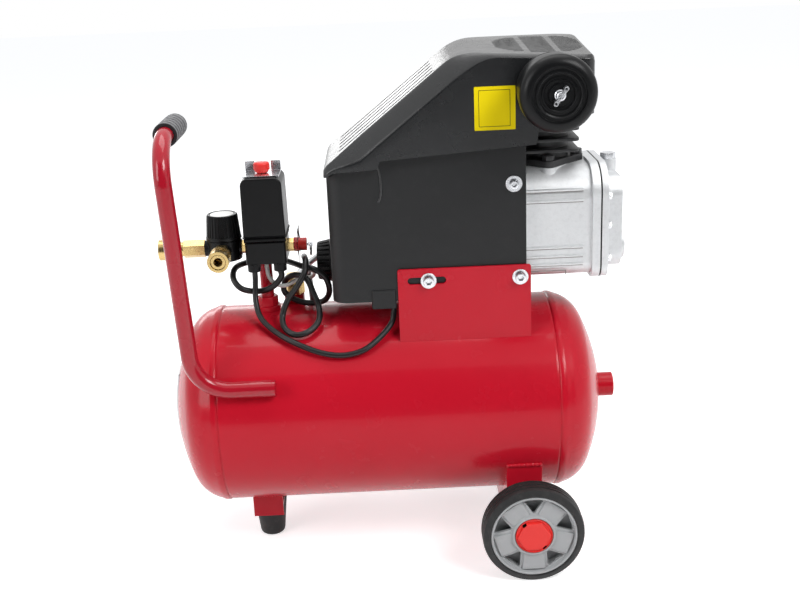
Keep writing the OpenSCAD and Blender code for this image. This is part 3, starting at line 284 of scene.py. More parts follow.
def make_grip():
    """Rubber whose raised rings, 12 mm apart along the grip, carry a patchy pale painted highlight."""
    material, shader, place = finish("grip_rubber", specular_ior_level=0.35)
    along = place.node("SeparateXYZ", {}, {0: place}, 1)
    saw = place.math("FRACT", along * RINGS_PER_METRE + RING_SHIFT)
    ridge = saw.ramp((0.0, 1.0), (0.06, 0.0), (0.52, 0.0), (0.60, 1.0))
    # The pale colour on the raised rings is a painted highlight, patchy through the noise.
    ring_highlight = ridge * (0.65 + 0.35 * noise(place, 160.0, 5.0))
    colour = ring_highlight.blend((0.010, 0.010, 0.011), (0.215, 0.215, 0.222))
    surface(shader, colour, 0.46 + 0.16 * noise(place, 70.0, 5.0))
    bumped(shader, noise(place, 1300.0, 2.0), 0.00018, 0.5)
    return material


GRIP_RUBBER = make_grip()
print("rubbers:", TYRE_RUBBER.name, CORD_RUBBER.name, GRIP_RUBBER.name)


# %% Metals
def make_metal(name, low, high, rough, scale, depth, stain=(0.2, 0.2, 0.2), share=0.25, metallic=1.0):
    """Metal with fine pits and darker marks; the share says how far the marks take the stain's colour."""
    material, shader, place = finish(name, metallic=metallic)
    cloud = noise(place, scale * 0.08, 5.0, 0.6)
    pits = noise(place, scale, 4.0, 0.65)
    marks = noise(place, scale * 0.3, 6.0, 0.7).ramp((0.48, 0.0), (0.85, 1.0))
    surface(shader, (marks * share).blend(cloud.blend(low, high), stain), (rough - 0.08) + 0.16 * pits)
    bumped(shader, pits, depth, 0.6)
    return material


CAST_ALUMINIUM = make_metal("cast_aluminium", (0.62, 0.63, 0.64), (0.72, 0.73, 0.74), 0.46, 700.0, 0.00040,
                            stain=(0.34, 0.34, 0.35), share=0.30, metallic=0.60)
BRIGHT_ZINC = make_metal("bright_zinc", (0.62, 0.63, 0.66), (0.74, 0.75, 0.77), 0.28, 500.0, 0.00010)
TURNED_BRASS = make_metal("turned_brass", (0.54, 0.38, 0.15), (0.68, 0.51, 0.23), 0.28, 400.0, 0.00008,
                          stain=(0.25, 0.13, 0.04), share=0.30)
BLACK_IRON = make_metal("black_iron", (0.012, 0.012, 0.013), (0.022, 0.022, 0.023), 0.42, 600.0, 0.00025,
                        stain=(0.05, 0.05, 0.05), share=0.2, metallic=0.0)
DARK_STEEL = make_metal("dark_steel", (0.20, 0.19, 0.18), (0.30, 0.28, 0.27), 0.42, 400.0, 0.00010)
PLATE_ALUMINIUM = make_metal("plate_aluminium", (0.48, 0.49, 0.50), (0.58, 0.59, 0.60), 0.34, 300.0, 0.00004)
print(len(bpy.data.materials), "materials with the metals")


# %% Oil glass and sticker
def make_oil_glass():
    """A round window, half full of oil."""
    material, shader, place = finish("oil_glass", coat_weight=1.0, coat_roughness=0.03)
    level = place.node("SeparateXYZ", {}, {0: place}, 2)
    full = (level * 60.0 - 23.6).ramp((0.48, 0.0), (0.52, 1.0))
    surface(shader, full.blend((0.30, 0.13, 0.012), (0.62, 0.55, 0.40)), 0.10 + 0.08 * noise(place, 200.0))
    return material


def make_sticker():
    """Yellow foil with a faint cloud in its colour."""
    material, shader, place = finish("yellow_sticker", specular_ior_level=0.12)
    cloud = noise(place, 35.0, 4.0)
    surface(shader, cloud.blend((0.88, 0.68, 0.003), (0.94, 0.75, 0.006)), 0.32 + 0.10 * noise(place, 120.0))
    bumped(shader, noise(place, 260.0, 2.0), 0.00010, 0.3)
    return material


OIL_GLASS = make_oil_glass()
YELLOW_STICKER = make_sticker()
print(len(bpy.data.materials), "materials")

# %% [markdown]
# ## Floor and light
#
# A product shot stands on a white sweep under soft boxes. The floor and the sky are white to the camera and
# in reflections, through the Light Path node, while the light that falls on the object stays at a plain
# level. The floor keeps part of its shading, so the object still throws its soft shadow. A low lamp behind
# lets the hood's slope shine. Behind the camera hangs a black flag, as photographers use it: what faces the
# lens mirrors the flag, so red stays red and black stays black. The camera itself never sees it.


# %% White sweep
def seen_directly(wire):
    """1 for camera, glossy and transmission rays."""
    rays = [wire.node("LightPath", output=f"Is {kind} Ray") for kind in ("Camera", "Glossy", "Transmission")]
    return wire.math("MAXIMUM", wire.math("MAXIMUM", rays[0], rays[1]), rays[2])


def make_floor():
    """White cloth that keeps its shadows, and glows as well where it is seen."""
    material, shader, place = finish("white_sweep", base_color=(0.82, 0.82, 0.82), roughness=0.9,
                                     specular_ior_level=0.0)
    cloth = Wire(place.tree, shader.outputs[0])
    glow = place.node("Emission", {}, {"Color": (1, 1, 1), "Strength": 0.62})
    both = place.node("AddShader", {}, {0: cloth, 1: glow})
    mixed = place.node("MixShader", {}, {0: seen_directly(place), 1: cloth, 2: both})
    place.feed(place.tree.nodes["Material Output"].inputs["Surface"], mixed)
    return material


bpy.ops.mesh.primitive_plane_add(size=14, location=(0, 2, 0))
sweep = bpy.context.object
sweep.name = "sweep"
sweep.data.materials.append(make_floor())

world = bpy.data.worlds.new("studio")
bpy.context.scene.world = world
world.use_nodes = True
sky = Wire(world.node_tree)
lit = sky.node("Background", {}, {"Color": (0.93, 0.96, 1.0), "Strength": 0.46})
white = sky.node("Background", {}, {"Color": (1, 1, 1), "Strength": 1.0})
sky.feed(world.node_tree.nodes["World Output"].inputs["Surface"],
         sky.node("MixShader", {}, {0: seen_directly(sky), 1: lit, 2: white}))
print("floor and sky are white to the camera")


# %% Soft boxes
def soft_box(name, place, aim, size, watts):
    """A rectangular lamp that looks from its place towards a point."""
    lamp = bpy.data.lights.new(name, "AREA")
    lamp.shape = "RECTANGLE"
    lamp.size, lamp.size_y = size
    lamp.energy = watts
    box = bpy.data.objects.new(name, lamp)
    bpy.context.scene.collection.objects.link(box)
    box.location = place
    box.rotation_euler = (Vector(aim) - Vector(place)).to_track_quat("-Z", "Y").to_euler()


soft_box("key_box", (1.5, -1.5, 2.1), (0.05, 0, 0.3), (1.2, 0.9), 44)
soft_box("fill_box", (-1.9, -1.4, 1.3), (-0.05, 0, 0.3), (1.0, 1.4), 22)
soft_box("top_box", (0.1, 0.3, 2.4), (0, 0, 0.3), (1.8, 1.2), 24)
soft_box("back_box", (-1.0, 2.7, 0.86), (0, 0, 0.55), (1.7, 0.5), 10)
bpy.context.scene.view_settings.view_transform = "Standard"

bpy.ops.mesh.primitive_plane_add(size=1, location=(0, -2.7, 1.7), rotation=(math.pi / 2, 0, 0))
flag = bpy.context.object
flag.name = "black_flag"
flag.scale = (7, 3.3, 1)
flag_cloth, cloth, weave = finish("flag_cloth", roughness=0.95, specular_ior_level=0.0)
weave.feed(cloth.inputs["Base Color"], noise(weave, 4.0).blend((0.030, 0.030, 0.032), (0.045, 0.045, 0.047)))
flag.data.materials.append(flag_cloth)
flag.visible_camera = False
print("four soft boxes and a black flag")

# %% [markdown]
# ## Cords
#
# The motor cable leaves a block under the cowl, lies over the tank's shoulder and climbs into the switch.
# The mains lead leaves the switch's other gland, runs round behind the riser, and hangs in two loops.
# The rest of it lies in a small coil behind the tank, with the plug on it. A cord could be a mesh swept by
# hand, but a curve keeps its true length, which is what a cord is ordered by.


# %% Curves through route points
def smooth_route(points, steps):
    """A smooth line through drawing points, with so many steps between two of them."""
    line = []
    for i in range(len(points) - 1):
        a, b, c, d = (Vector(points[k]) for k in (max(i - 1, 0), i, i + 1, min(i + 2, len(points) - 1)))
        for k in range(steps):
            t = k / steps
            line.append(0.5 * (2 * b + (c - a) * t + (2 * a - 5 * b + 4 * c - d) * t * t
                               + (3 * b - a - 3 * c + d) * t ** 3))
    return line + [Vector(points[-1])]


def tube_curve(name, line, diameter, material, sides=5):
    """One open spline with a round bevel, through drawing points."""
    curve = bpy.data.curves.new(name, "CURVE")
    curve.dimensions = "3D"
    curve.bevel_depth = diameter / 2 * MM
    curve.bevel_resolution = sides
    curve.use_fill_caps = True
    spline = curve.splines.new("POLY")
    spline.points.add(len(line) - 1)
    for point, place in zip(spline.points, line):
        point.co = (*at(*place), 1)
        point.radius = 1
    spline.use_smooth = True
    curve.materials.append(material)
    piece = bpy.data.objects.new(name, curve)
    bpy.context.scene.collection.objects.link(piece)
    length = sum((b - a).length for a, b in zip(line, line[1:])) * MM
    print(f"{name}: {length:.3f} m")
    return piece, length


print("cords and pipes can be routed")

# %% Motor cable
CABLE_D, LEAD_D = 7.0, 7.5
SWITCH_X, GLAND_DX, GLAND_Y, GLAND_LOW = -142.5, 16, -23, 374
CABLE_ROUTE = [
    (11, -62, 334), (11, -62, 326), (8, -66, 314), (-4, -76, 302), (-24, -89, 290), (-44, -93, 285),
    (-63, -93, 285), (-84, -89, 289), (-105, -82, 296), (-124, -72, 303), (-142, -58, 312), (-154, -44, 322),
    (-159, -33, 338), (-159, -26, 354), (SWITCH_X - GLAND_DX, GLAND_Y, 365),
    (SWITCH_X - GLAND_DX, GLAND_Y, GLAND_LOW),
]
cable, cable_length = tube_curve("motor_cord", smooth_route(CABLE_ROUTE, 8), CABLE_D, CORD_RUBBER)
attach(cable, "compressor")
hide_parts("motor_cable")
tuple(at(*CABLE_ROUTE[0]))

# %% Mains lead and its coil
COIL_X, COIL_Y, COIL_R, COIL_Z = 5, 177, 44, LEAD_D / 2 + 0.5
COIL_PITCH = LEAD_D + 0.8
COIL_TURNS = 4
PLUG_X, PLUG_Y, PLUG_Z = COIL_X + 34, COIL_Y - COIL_R, 19
LEAD_ROUTE = [
    (SWITCH_X + GLAND_DX, GLAND_Y, GLAND_LOW), (SWITCH_X + GLAND_DX, GLAND_Y, 365), (-139, -22, 352),
    (-158, -17, 346), (-177, -19, 351), (-187, -12, 362), (-186, 4, 371), (-174, 20, 373), (-150, 29, 374),
    (-128, 19, 375), (-113, 0, 376), (-99, -18, 376), (-84, -27, 374), (-71, -27, 362), (-68, -21, 343),
    (-76, -11, 328), (-95, -6, 324), (-114, -3, 329), (-126, -3, 341), (-122, -4, 356), (-109, -20, 366),
    (-95, -31, 364), (-87, -35, 346), (-81, -40, 328), (-82, -54, 315), (-94, -67, 307), (-110, -70, 305),
    (-123, -61, 311), (-126, -46, 322), (-119, -42, 340), (-106, -42, 358), (-96, -38, 374), (-95, -24, 385),
    (-98, 0, 383), (-99, 24, 375), (-98, 60, 345), (-98, 100, 293), (-98, 129, 225), (-98, 133, 150),
    (-94, 133, 80), (-78, 133, 28), (-48, 133, 7), (-20, 133, COIL_Z), (COIL_X, COIL_Y - COIL_R, COIL_Z),
]


def coil_point(turn):
    """Two turns spiral in on the floor and two spiral out again on top of them."""
    radius = COIL_R - COIL_PITCH * (2 - abs(turn - 2))
    angle = 2 * math.pi * turn - math.pi / 2
    rise = min(max((turn - 1.75) * 2, 0), 1)
    return Vector((COIL_X + radius * math.cos(angle), COIL_Y + radius * math.sin(angle),
                   COIL_Z + COIL_PITCH * rise))


coil_end = coil_point(COIL_TURNS)
lead_line = smooth_route(LEAD_ROUTE, 8)[:-1]
lead_line += [coil_point(k / 36) for k in range(COIL_TURNS * 36 + 1)]
lead_line += smooth_route([coil_end + Vector((10, 0, 1)), coil_end + Vector((18, 0, 4.5)),
                           (PLUG_X - LEAD_D, PLUG_Y, PLUG_Z), (PLUG_X, PLUG_Y, PLUG_Z)], 5)
lead, lead_length = tube_curve("mains_cord", lead_line, LEAD_D, CORD_RUBBER)
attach(lead, "compressor")
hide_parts("mains_lead", "lead_coil")

# %% [markdown]
# ## Ways of making a piece
#
# Most of this machine is turned, pressed from sheet or moulded, so three ways cover it. A lathe draws a
# half section by extruding one vertex from point to point and spins it. A press draws an outline the same
# way, fills it and extrudes it. A casting that the CAD already has in full is copied, its triangles are
# merged, and its sharp edges are rounded, because a real edge always catches a line of light.


# %% Drawing and spinning
SAME_PLACE = 2e-6
AXES = {
    "X": (Vector((1, 0, 0)), Vector((0, 0, 1))),
    "Y": (Vector((0, 1, 0)), Vector((0, 0, 1))),
    "Z": (Vector((0, 0, 1)), Vector((1, 0, 0))),
}


def use(piece):
    """Make one piece the selected and active one."""
    clear_selection()
    piece.select_set(True)
    bpy.context.view_layer.objects.active = piece


def chain(name, points):
    """Draw edges through drawing points from one vertex, and stay in edit mode."""
    clear_selection()
    bpy.ops.mesh.primitive_plane_add(size=0.001, location=at(*points[0]))
    piece = bpy.context.object
    piece.name = name
    bpy.ops.object.transform_apply(location=True, rotation=True, scale=True)
    bpy.ops.object.mode_set(mode="EDIT")
    bpy.ops.mesh.select_all(action="SELECT")
    bpy.ops.mesh.merge(type="CENTER")
    for a, b in zip(points, points[1:]):
        step = (Vector(b) - Vector(a)) * MM
        bpy.ops.mesh.extrude_vertices_move(TRANSFORM_OT_translate={"value": step})
    bpy.ops.mesh.select_all(action="SELECT")
    return piece


def close_mesh():
    """Merge doubles, turn all faces outwards and leave edit mode."""
    bpy.ops.mesh.select_all(action="SELECT")
    bpy.ops.mesh.remove_doubles(threshold=SAME_PLACE)
    bpy.ops.mesh.normals_make_consistent(inside=False)
    bpy.ops.object.mode_set(mode="OBJECT")


def turned(name, axis, centre, profile, steps=96):
    """Spin a half section, given as (place along the axis, radius), round an axis through the centre."""
    along, out = AXES[axis]
    piece = chain(name, [Vector(centre) + along * a + out * r for a, r in profile])
    bpy.ops.mesh.spin(steps=steps, angle=2 * math.pi, center=at(*centre), axis=along)
    close_mesh()
    return piece


print("the lathe is ready")


# %% Pressing
def across(axis, a, b, t):
    """The drawing point with place t along an axis and places a and b across it."""
    return {"X": (t, a, b), "Y": (a, t, b), "Z": (a, b, t)}[axis]


def pressed(name, axis, outline, low, high):
    """Extrude a closed outline along an axis from low to high."""
    ring = [across(axis, a, b, low) for a, b in outline]
    piece = chain(name, ring + ring[:1])
    bpy.ops.mesh.remove_doubles(threshold=SAME_PLACE)
    bpy.ops.mesh.edge_face_add()
    bpy.ops.mesh.extrude_region_move(TRANSFORM_OT_translate={"value": AXES[axis][0] * (high - low) * MM})
    close_mesh()
    return piece


def rounded(corners, steps=6):
    """Corners given as (a, b, radius), each replaced by an arc."""
    outline = []
    for i, (x, y, radius) in enumerate(corners):
        here = Vector((x, y))
        before = (Vector(corners[i - 1][:2]) - here).normalized()
        after = (Vector(corners[(i + 1) % len(corners)][:2]) - here).normalized()
        if radius == 0:
            outline.append((x, y))
            continue
        half = before.angle(after) / 2
        reach = radius / math.tan(half)
        centre = here + (before + after).normalized() * radius / math.sin(half)
        start, end = here + before * reach - centre, here + after * reach - centre
        turn = start.angle_signed(end)
        for k in range(steps + 1):
            spoke = start.copy()
            spoke.rotate(Matrix.Rotation(-turn * k / steps, 2))
            outline.append(tuple(centre + spoke))
    return outline


def boxed(name, axis, a0, a1, b0, b1, low, high, radius, steps=4):
    """Press a bar with round corners: its places both ways across the axis, and then along it."""
    corners = [(a0, b0, radius), (a1, b0, radius), (a1, b1, radius), (a0, b1, radius)]
    return pressed(name, axis, rounded(corners, steps), low, high)


print("the press is ready")


# %% Cutting and rounding
def modify(piece, kind, **settings):
    """Add a modifier and apply it."""
    use(piece)
    modifier = piece.modifiers.new(kind.lower(), kind)
    for name, value in settings.items():
        setattr(modifier, name, value)
    bpy.ops.object.modifier_apply(modifier=modifier.name)


def round_edges(piece, width, segments=2, angle=40, clamp=True):
    """Round every edge that is sharper than an angle."""
    modify(piece, "BEVEL", width=width * MM, segments=segments, limit_method="ANGLE",
           angle_limit=math.radians(angle), use_clamp_overlap=clamp, miter_outer="MITER_ARC")


def cut(piece, *cutters):
    """Take cutters out of a piece. The faces that a painted cutter leaves get its finish."""
    for cutter in cutters:
        mode = "TRANSFER" if cutter.data.materials else "INDEX"
        modify(piece, "BOOLEAN", operation="DIFFERENCE", solver="EXACT", material_mode=mode, object=cutter)
        bpy.data.objects.remove(cutter)


print("cutters and edge rounding are ready")


# %% Joining, copying and turning
def joined(piece, *others):
    """Bring other pieces into this one's mesh."""
    use(piece)
    for other in others:
        other.select_set(True)
    bpy.ops.object.join()
    return piece


def copied(piece, name):
    """A copy with its own mesh."""
    use(piece)
    bpy.ops.object.duplicate()
    twin = bpy.context.object
    twin.name = name
    return twin


def turned_about(piece, axis, centre, degrees):
    """Turn a piece's mesh about an axis through a drawing point."""
    turn = Matrix.Rotation(math.radians(degrees), 4, AXES[axis][0])
    piece.data.transform(Matrix.Translation(at(*centre)) @ turn @ Matrix.Translation(-at(*centre)))
    return piece


def far_copy(piece, name):
    """The same piece on the other side of the row."""
    twin = copied(piece, name)
    twin.data.transform(Matrix.Scale(-1, 4, (0, 1, 0)))
    use(twin)
    bpy.ops.object.mode_set(mode="EDIT")
    bpy.ops.mesh.select_all(action="SELECT")
    bpy.ops.mesh.flip_normals()
    bpy.ops.object.mode_set(mode="OBJECT")
    return twin


def from_node(name, node, width):
    """A copy of a CAD node with merged triangles and rounded edges."""
    piece = copied(frame["nodes"][node], name)
    bpy.ops.object.parent_clear(type="CLEAR_KEEP_TRANSFORM")
    for key in list(piece.keys()):
        del piece[key]
    piece.data.materials.clear()
    bpy.ops.mesh.customdata_custom_splitnormals_clear()
    bpy.ops.object.mode_set(mode="EDIT")
    bpy.ops.mesh.select_all(action="SELECT")
    bpy.ops.mesh.remove_doubles(threshold=1e-5)
    bpy.ops.mesh.dissolve_limited(angle_limit=math.radians(0.5))
    bpy.ops.object.mode_set(mode="OBJECT")
    if width:
        round_edges(piece, width, angle=32, clamp=False)
    return piece


print(len(frame["nodes"]), "nodes of the drawing can be copied")


# %% Painting and handing over
def paint(material, *pieces):
    """Give pieces their finish before they are joined or cut."""
    for piece in pieces:
        piece.data.materials.append(material)


def hand_over(piece, material, slot, *nodes, body="compressor", angle=35):
    """Shade, paint and seat a finished piece, in place of the CAD nodes that it stands for."""
    use(piece)
    bpy.ops.object.shade_smooth_by_angle(angle=math.radians(angle))
    modify(piece, "WEIGHTED_NORMAL", keep_sharp=True)
    if not piece.data.materials:
        paint(material, piece)
    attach(piece, body)
    if nodes:
        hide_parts(*nodes)
    print(f"{piece.name}: {len(piece.data.polygons)} faces")


def copy_nodes(material, slot, *rows):
    """Hand over copies of CAD nodes: name, node, width of the round edges, and the body if it moves."""
    for name, node, width, *body in rows:
        hand_over(from_node(name, node, width), material, slot, node, body=(body or ["compressor"])[0])


print("pieces can be handed over")

# %% [markdown]
# ## Plug of the mains lead
#
# A round two-pin plug with a tapered neck. It lies on the coil behind the tank, where the camera can't see
# it. A lathe makes its body in one profile, and the pins are two more turned pieces with rounded tips.

# %% Plug
plug = turned("mains_plug", "X", (PLUG_X, PLUG_Y, PLUG_Z), [
    (0, 0), (0, 5.2), (0.8, 6), (5, 6.6), (5.6, 7.4), (7.4, 7.4), (8, 7.0), (11, 7.4), (11.6, 8.2),
    (13.4, 8.2), (14, 7.8), (17, 8.4), (17.6, 9.2), (19.4, 9.2), (20, 9.0), (22, 10), (23, 12.4),
    (29, 17.0), (31, 17.9), (34, 18), (41, 18), (43, 17.4), (44, 16), (44, 0)], 64)
paint(SATIN_BLACK, plug)
PIN = [(43.5, 0), (43.5, 2.4), (61, 2.4), (62.4, 1.9), (63, 0.9), (63, 0)]
for side in (-9.5, 9.5):
    pin = turned("plug_pin", "X", (PLUG_X, PLUG_Y + side, PLUG_Z), PIN, 24)
    paint(BRIGHT_ZINC, pin)
    joined(plug, pin)
hand_over(plug, SATIN_BLACK, "black_rubber", "lead_plug")
tuple(at(*LEAD_ROUTE[0]))

# %% [markdown]
# ## Receiver
#
# The tank is a rolled shell with two dished heads. A dished head is two arcs that meet smoothly: a tight
# knuckle at the rim and a flat crown. The welder's bead stands a little proud at each seam with a fine
# groove beside it. All of this is one half section, so it is spun.

# %% Tank
TANK_R, TANK_Z, SEAM_X, HEAD_DEPTH, KNUCKLE_R = 125, 192, 208, 63.5, 45
CROWN_OFF = ((TANK_R - KNUCKLE_R) ** 2 - (HEAD_DEPTH - KNUCKLE_R) ** 2) / (2 * (HEAD_DEPTH - KNUCKLE_R))
CROWN_R = HEAD_DEPTH + CROWN_OFF
BLEND = math.atan2(CROWN_OFF, TANK_R - KNUCKLE_R)


def arc(centre, radius, start, end, steps):
    """Points (along, radius) of an arc, with its centre given the same way."""
    angles = [start + (end - start) * k / steps for k in range(steps + 1)]
    return [(centre[0] + radius * math.sin(a), centre[1] + radius * math.cos(a)) for a in angles]


half = [(SEAM_X - 4, TANK_R), (SEAM_X - 2.6, TANK_R - 0.9), (SEAM_X - 1.4, TANK_R - 0.9),
        (SEAM_X - 0.4, TANK_R + 0.5), (SEAM_X + 1.5, TANK_R + 1.1), (SEAM_X + 5, TANK_R + 1.1),
        (SEAM_X + 7.5, TANK_R + 0.2)]
half += arc((SEAM_X, TANK_R - KNUCKLE_R), KNUCKLE_R, math.asin(12 / KNUCKLE_R), BLEND, 14)
half += arc((SEAM_X - CROWN_OFF, 0), CROWN_R, BLEND, math.pi / 2, 14)[1:]
half[-1] = (SEAM_X + HEAD_DEPTH, 0)
tank = turned("tank", "X", (0, 0, TANK_Z), [(-x, r) for x, r in reversed(half)] + half, 160)
hand_over(tank, RED_ENAMEL, "red_paint", "tank_shell", "tank_heads", angle=40)

# %% [markdown]
# ## Handle
#
# One steel tube lies along the tank, turns up, leans out a little, and turns again to carry the grip. A
# curve with a round bevel follows it best, and it is made a mesh at the end. The fillet welds that hold it
# to the tank are rows of small overlapping lumps, as a welder leaves them.

# %% Handle tube
HANDLE_R, LEG_X, LOW_BEND, TOP_BEND, GRIP_Z, GRIP_LEN = 10, -238, 46, 50, 554, 80
WELD_ANGLE = math.radians(28.5)
LEG_Y = -(TANK_R + HANDLE_R) * math.cos(WELD_ANGLE)
WELD_Z = TANK_Z + (TANK_R + HANDLE_R) * math.sin(WELD_ANGLE)
HANDLE_END = -134
GRIP_Y0 = LEG_Y + TOP_BEND + 1.5
GRIP_Y1 = GRIP_Y0 + GRIP_LEN
GRIP_X, HEEL_X = LEG_X - 5, LEG_X + 8


def bent(before, corner, after, radius, steps=14):
    """Points round the bend that a tube makes at a corner of its route."""
    corner = Vector(corner)
    back, on = (Vector(before) - corner).normalized(), (Vector(after) - corner).normalized()
    half = back.angle(on) / 2
    centre = corner + (back + on).normalized() * radius / math.sin(half)
    first, last = (corner + way * radius / math.tan(half) - centre for way in (back, on))
    return [centre + first.slerp(last, k / steps) * radius for k in range(steps + 1)]


free_end, heel = (HANDLE_END, LEG_Y, WELD_Z), (HEEL_X, LEG_Y, WELD_Z)
elbow, grip_end = (GRIP_X, LEG_Y, GRIP_Z), (GRIP_X, GRIP_Y1 - 6, GRIP_Z)
path = [free_end] + bent(free_end, heel, elbow, LOW_BEND) + bent(heel, elbow, grip_end, TOP_BEND) + [grip_end]


def tube_mesh(name, line, diameter, material, sides=8):
    """A tube along drawing points, as a mesh."""
    piece, _ = tube_curve(name, [Vector(p) for p in line], diameter, material, sides)
    use(piece)
    bpy.ops.object.convert(target="MESH")
    return bpy.context.object


handle = tube_mesh("handle", path, 2 * HANDLE_R, SHADED_TUBE_ENAMEL, 10)
round_edges(handle, 1.6, 3, angle=50)
hand_over(handle, SHADED_TUBE_ENAMEL, "red_paint", "handle_tube", angle=40)


# %% Handle welds
def weld_bead(name, line, size):
    """Overlapping lumps along a line, each a flattened ball."""
    lumps = []
    for k, place in enumerate(line):
        clear_selection()
        radius = size * MM * (1 + 0.12 * math.sin(2.4 * k))
        bpy.ops.mesh.primitive_uv_sphere_add(segments=12, ring_count=8, radius=radius, location=at(*place))
        lumps.append(bpy.context.object)
        bpy.ops.object.transform_apply(location=True, rotation=True, scale=True)
    bead = joined(lumps[0], *lumps[1:])
    bead.name = name
    modify(bead, "REMESH", mode="VOXEL", voxel_size=0.0007)
    modify(bead, "SMOOTH", iterations=3, factor=0.5)
    return bead


beads = []
for lift in (-3, 3):
    angle = WELD_ANGLE + math.radians(lift)
    out, up = (TANK_R + 1.8) * math.cos(angle), (TANK_R + 1.8) * math.sin(angle)
    line = [(HANDLE_END - 44 + 2.2 * k, -out, TANK_Z + up) for k in range(20)]
    beads.append(weld_bead("handle_weld", line, 2.4))
hand_over(joined(*beads), RED_ENAMEL, "red_paint", angle=60)

# %% Grip
ribs = [(GRIP_Y0, HANDLE_R + 0.3), (GRIP_Y0, 13.4), (GRIP_Y0 + 0.8, 14.3), (GRIP_Y0 + 5.2, 14.5)]
for k in range(5):
    y = GRIP_Y0 + 7 + 12 * k
    ribs += [(y - 0.8, 13.9), (y, 12.5), (y + 1.0, 11.9), (y + 4.4, 11.9), (y + 5.4, 12.5), (y + 6.2, 13.9),
             (y + 7.0, 14.5), (y + 10.2, 14.5)]
END_R = 9
round_end = [math.pi / 2 * k / 14 for k in range(2, 15, 3)]
ribs += [(GRIP_Y1 - END_R + END_R * math.sin(a), 5.5 + END_R * math.cos(a)) for a in round_end]
ribs += [(GRIP_Y1, 0)]
grip = turned("grip", "Y", (GRIP_X, 0, GRIP_Z), ribs, 72)
hand_over(grip, GRIP_RUBBER, "black_rubber", "handle_grip", angle=50)

# %% [markdown]
# ## Wheels
#
# Each wheel is a rubber tyre on a grey moulded rim with five wide spokes. Between the spokes lie five
# triangular pockets, and a bright thin lip runs round it. A red cap with a hexagon on its face hides the
# end of the axle. The near wheel is made once, and the far one is its mirror image.

# %% Tyre
WHEEL_X, WHEEL_R, WHEEL_IN, WHEEL_W = 169, 62.5, 126, 33
OUT = WHEEL_IN + WHEEL_W
RIM_R = WHEEL_R * 0.845
HUB = (WHEEL_X, 0, WHEEL_R)


def near(profile):
    """A half section whose places count outwards from the middle of the row, on the near side."""
    return [(-y, r) for y, r in profile]


def both_wheels(piece, material, slot, part):
    """Hand over a piece of the near wheel and its mirror image for the far one."""
    hand_over(piece, material, slot, "near_" + part, body="near_wheel", angle=40)
    twin = far_copy(piece, piece.name.replace("near", "far"))
    hand_over(twin, material, slot, "far_" + part, body="far_wheel", angle=40)


tread = [(WHEEL_IN + 1, RIM_R), (WHEEL_IN, RIM_R + 1.2), (WHEEL_IN + 0.6, RIM_R + 3.4),
         (WHEEL_IN + 3.2, WHEEL_R - 1.4), (WHEEL_IN + 6, WHEEL_R - 0.3)]
for groove in (WHEEL_IN + 9.5, WHEEL_IN + 16.5, WHEEL_IN + 23.5):
    tread += [(groove - 1.5, WHEEL_R), (groove - 1, WHEEL_R - 1.4), (groove + 1, WHEEL_R - 1.4),
              (groove + 1.5, WHEEL_R)]
tread += [(OUT - 6, WHEEL_R - 0.3), (OUT - 3.2, WHEEL_R - 1.4), (OUT - 0.8, RIM_R + 3.6),
          (OUT - 0.3, RIM_R + 1.6), (OUT - 1.2, RIM_R), (WHEEL_IN + 1, RIM_R)]
both_wheels(turned("near_tyre_ring", "Y", HUB, near(tread), 120), TYRE_RUBBER, "tyre", "tyre")

# %% Rim
FACE, SPOKES = OUT - 7.5, 5
rim_section = [
    (WHEEL_IN + 2, RIM_R - 0.2), (OUT - 1.6, RIM_R - 0.2), (OUT - 0.4, RIM_R - 0.9),
    (OUT - 0.4, RIM_R - 2.3), (OUT - 1.4, RIM_R - 3), (FACE, RIM_R - 3.6), (FACE + 1.2, 28),
    (OUT - 3.0, 26.5), (OUT - 2.4, 25.6), (OUT - 2.4, 23.4), (FACE - 0.4, 23.4), (FACE - 0.4, 6.4),
    (WHEEL_IN + 2, 6.4), (WHEEL_IN + 2, 16), (FACE - 4, 18), (FACE - 4, RIM_R - 5),
    (WHEEL_IN + 2, RIM_R - 5), (WHEEL_IN + 2, RIM_R - 0.2),
]
rim = turned("near_rim_disc", "Y", HUB, near(rim_section), 120)


def wedge(name, first, second, radii, steps, low, high):
    """Press a four-sided wedge: each end is a half width and how far it lies above the hub."""
    corners = []
    for (half_width, rise), radius, signs in zip((first, second), radii, ((-1, 1), (1, -1))):
        corners += [(WHEEL_X + sign * half_width, WHEEL_R + rise, radius) for sign in signs]
    return pressed(name, "Y", rounded(corners, steps), low, high)


for k in range(SPOKES):
    window = wedge("window", (13.0, 47.4), (1.2, 29), (2, 1.5), 4, -OUT, -WHEEL_IN - 6)
    cut(rim, turned_about(window, "Y", HUB, 360 / SPOKES * k))
round_edges(rim, 0.7, clamp=False)
spokes = []
for k in range(SPOKES):
    spoke = wedge("spoke", (14.5, -47.2), (12.5, -25), (1, 1), 3, -FACE - 2.6, -FACE + 3)
    round_edges(spoke, 1.3, 3)
    spokes.append(turned_about(spoke, "Y", HUB, 360 / SPOKES * k))
back = turned("rim_back", "Y", HUB, near([
    (WHEEL_IN + 4, 6.6), (WHEEL_IN + 4, RIM_R - 4.4), (WHEEL_IN + 13, RIM_R - 4.4), (WHEEL_IN + 13, 6.6),
    (WHEEL_IN + 4, 6.6)]))
both_wheels(joined(rim, back, *spokes), RIM_GREY, "grey_plastic", "rim")

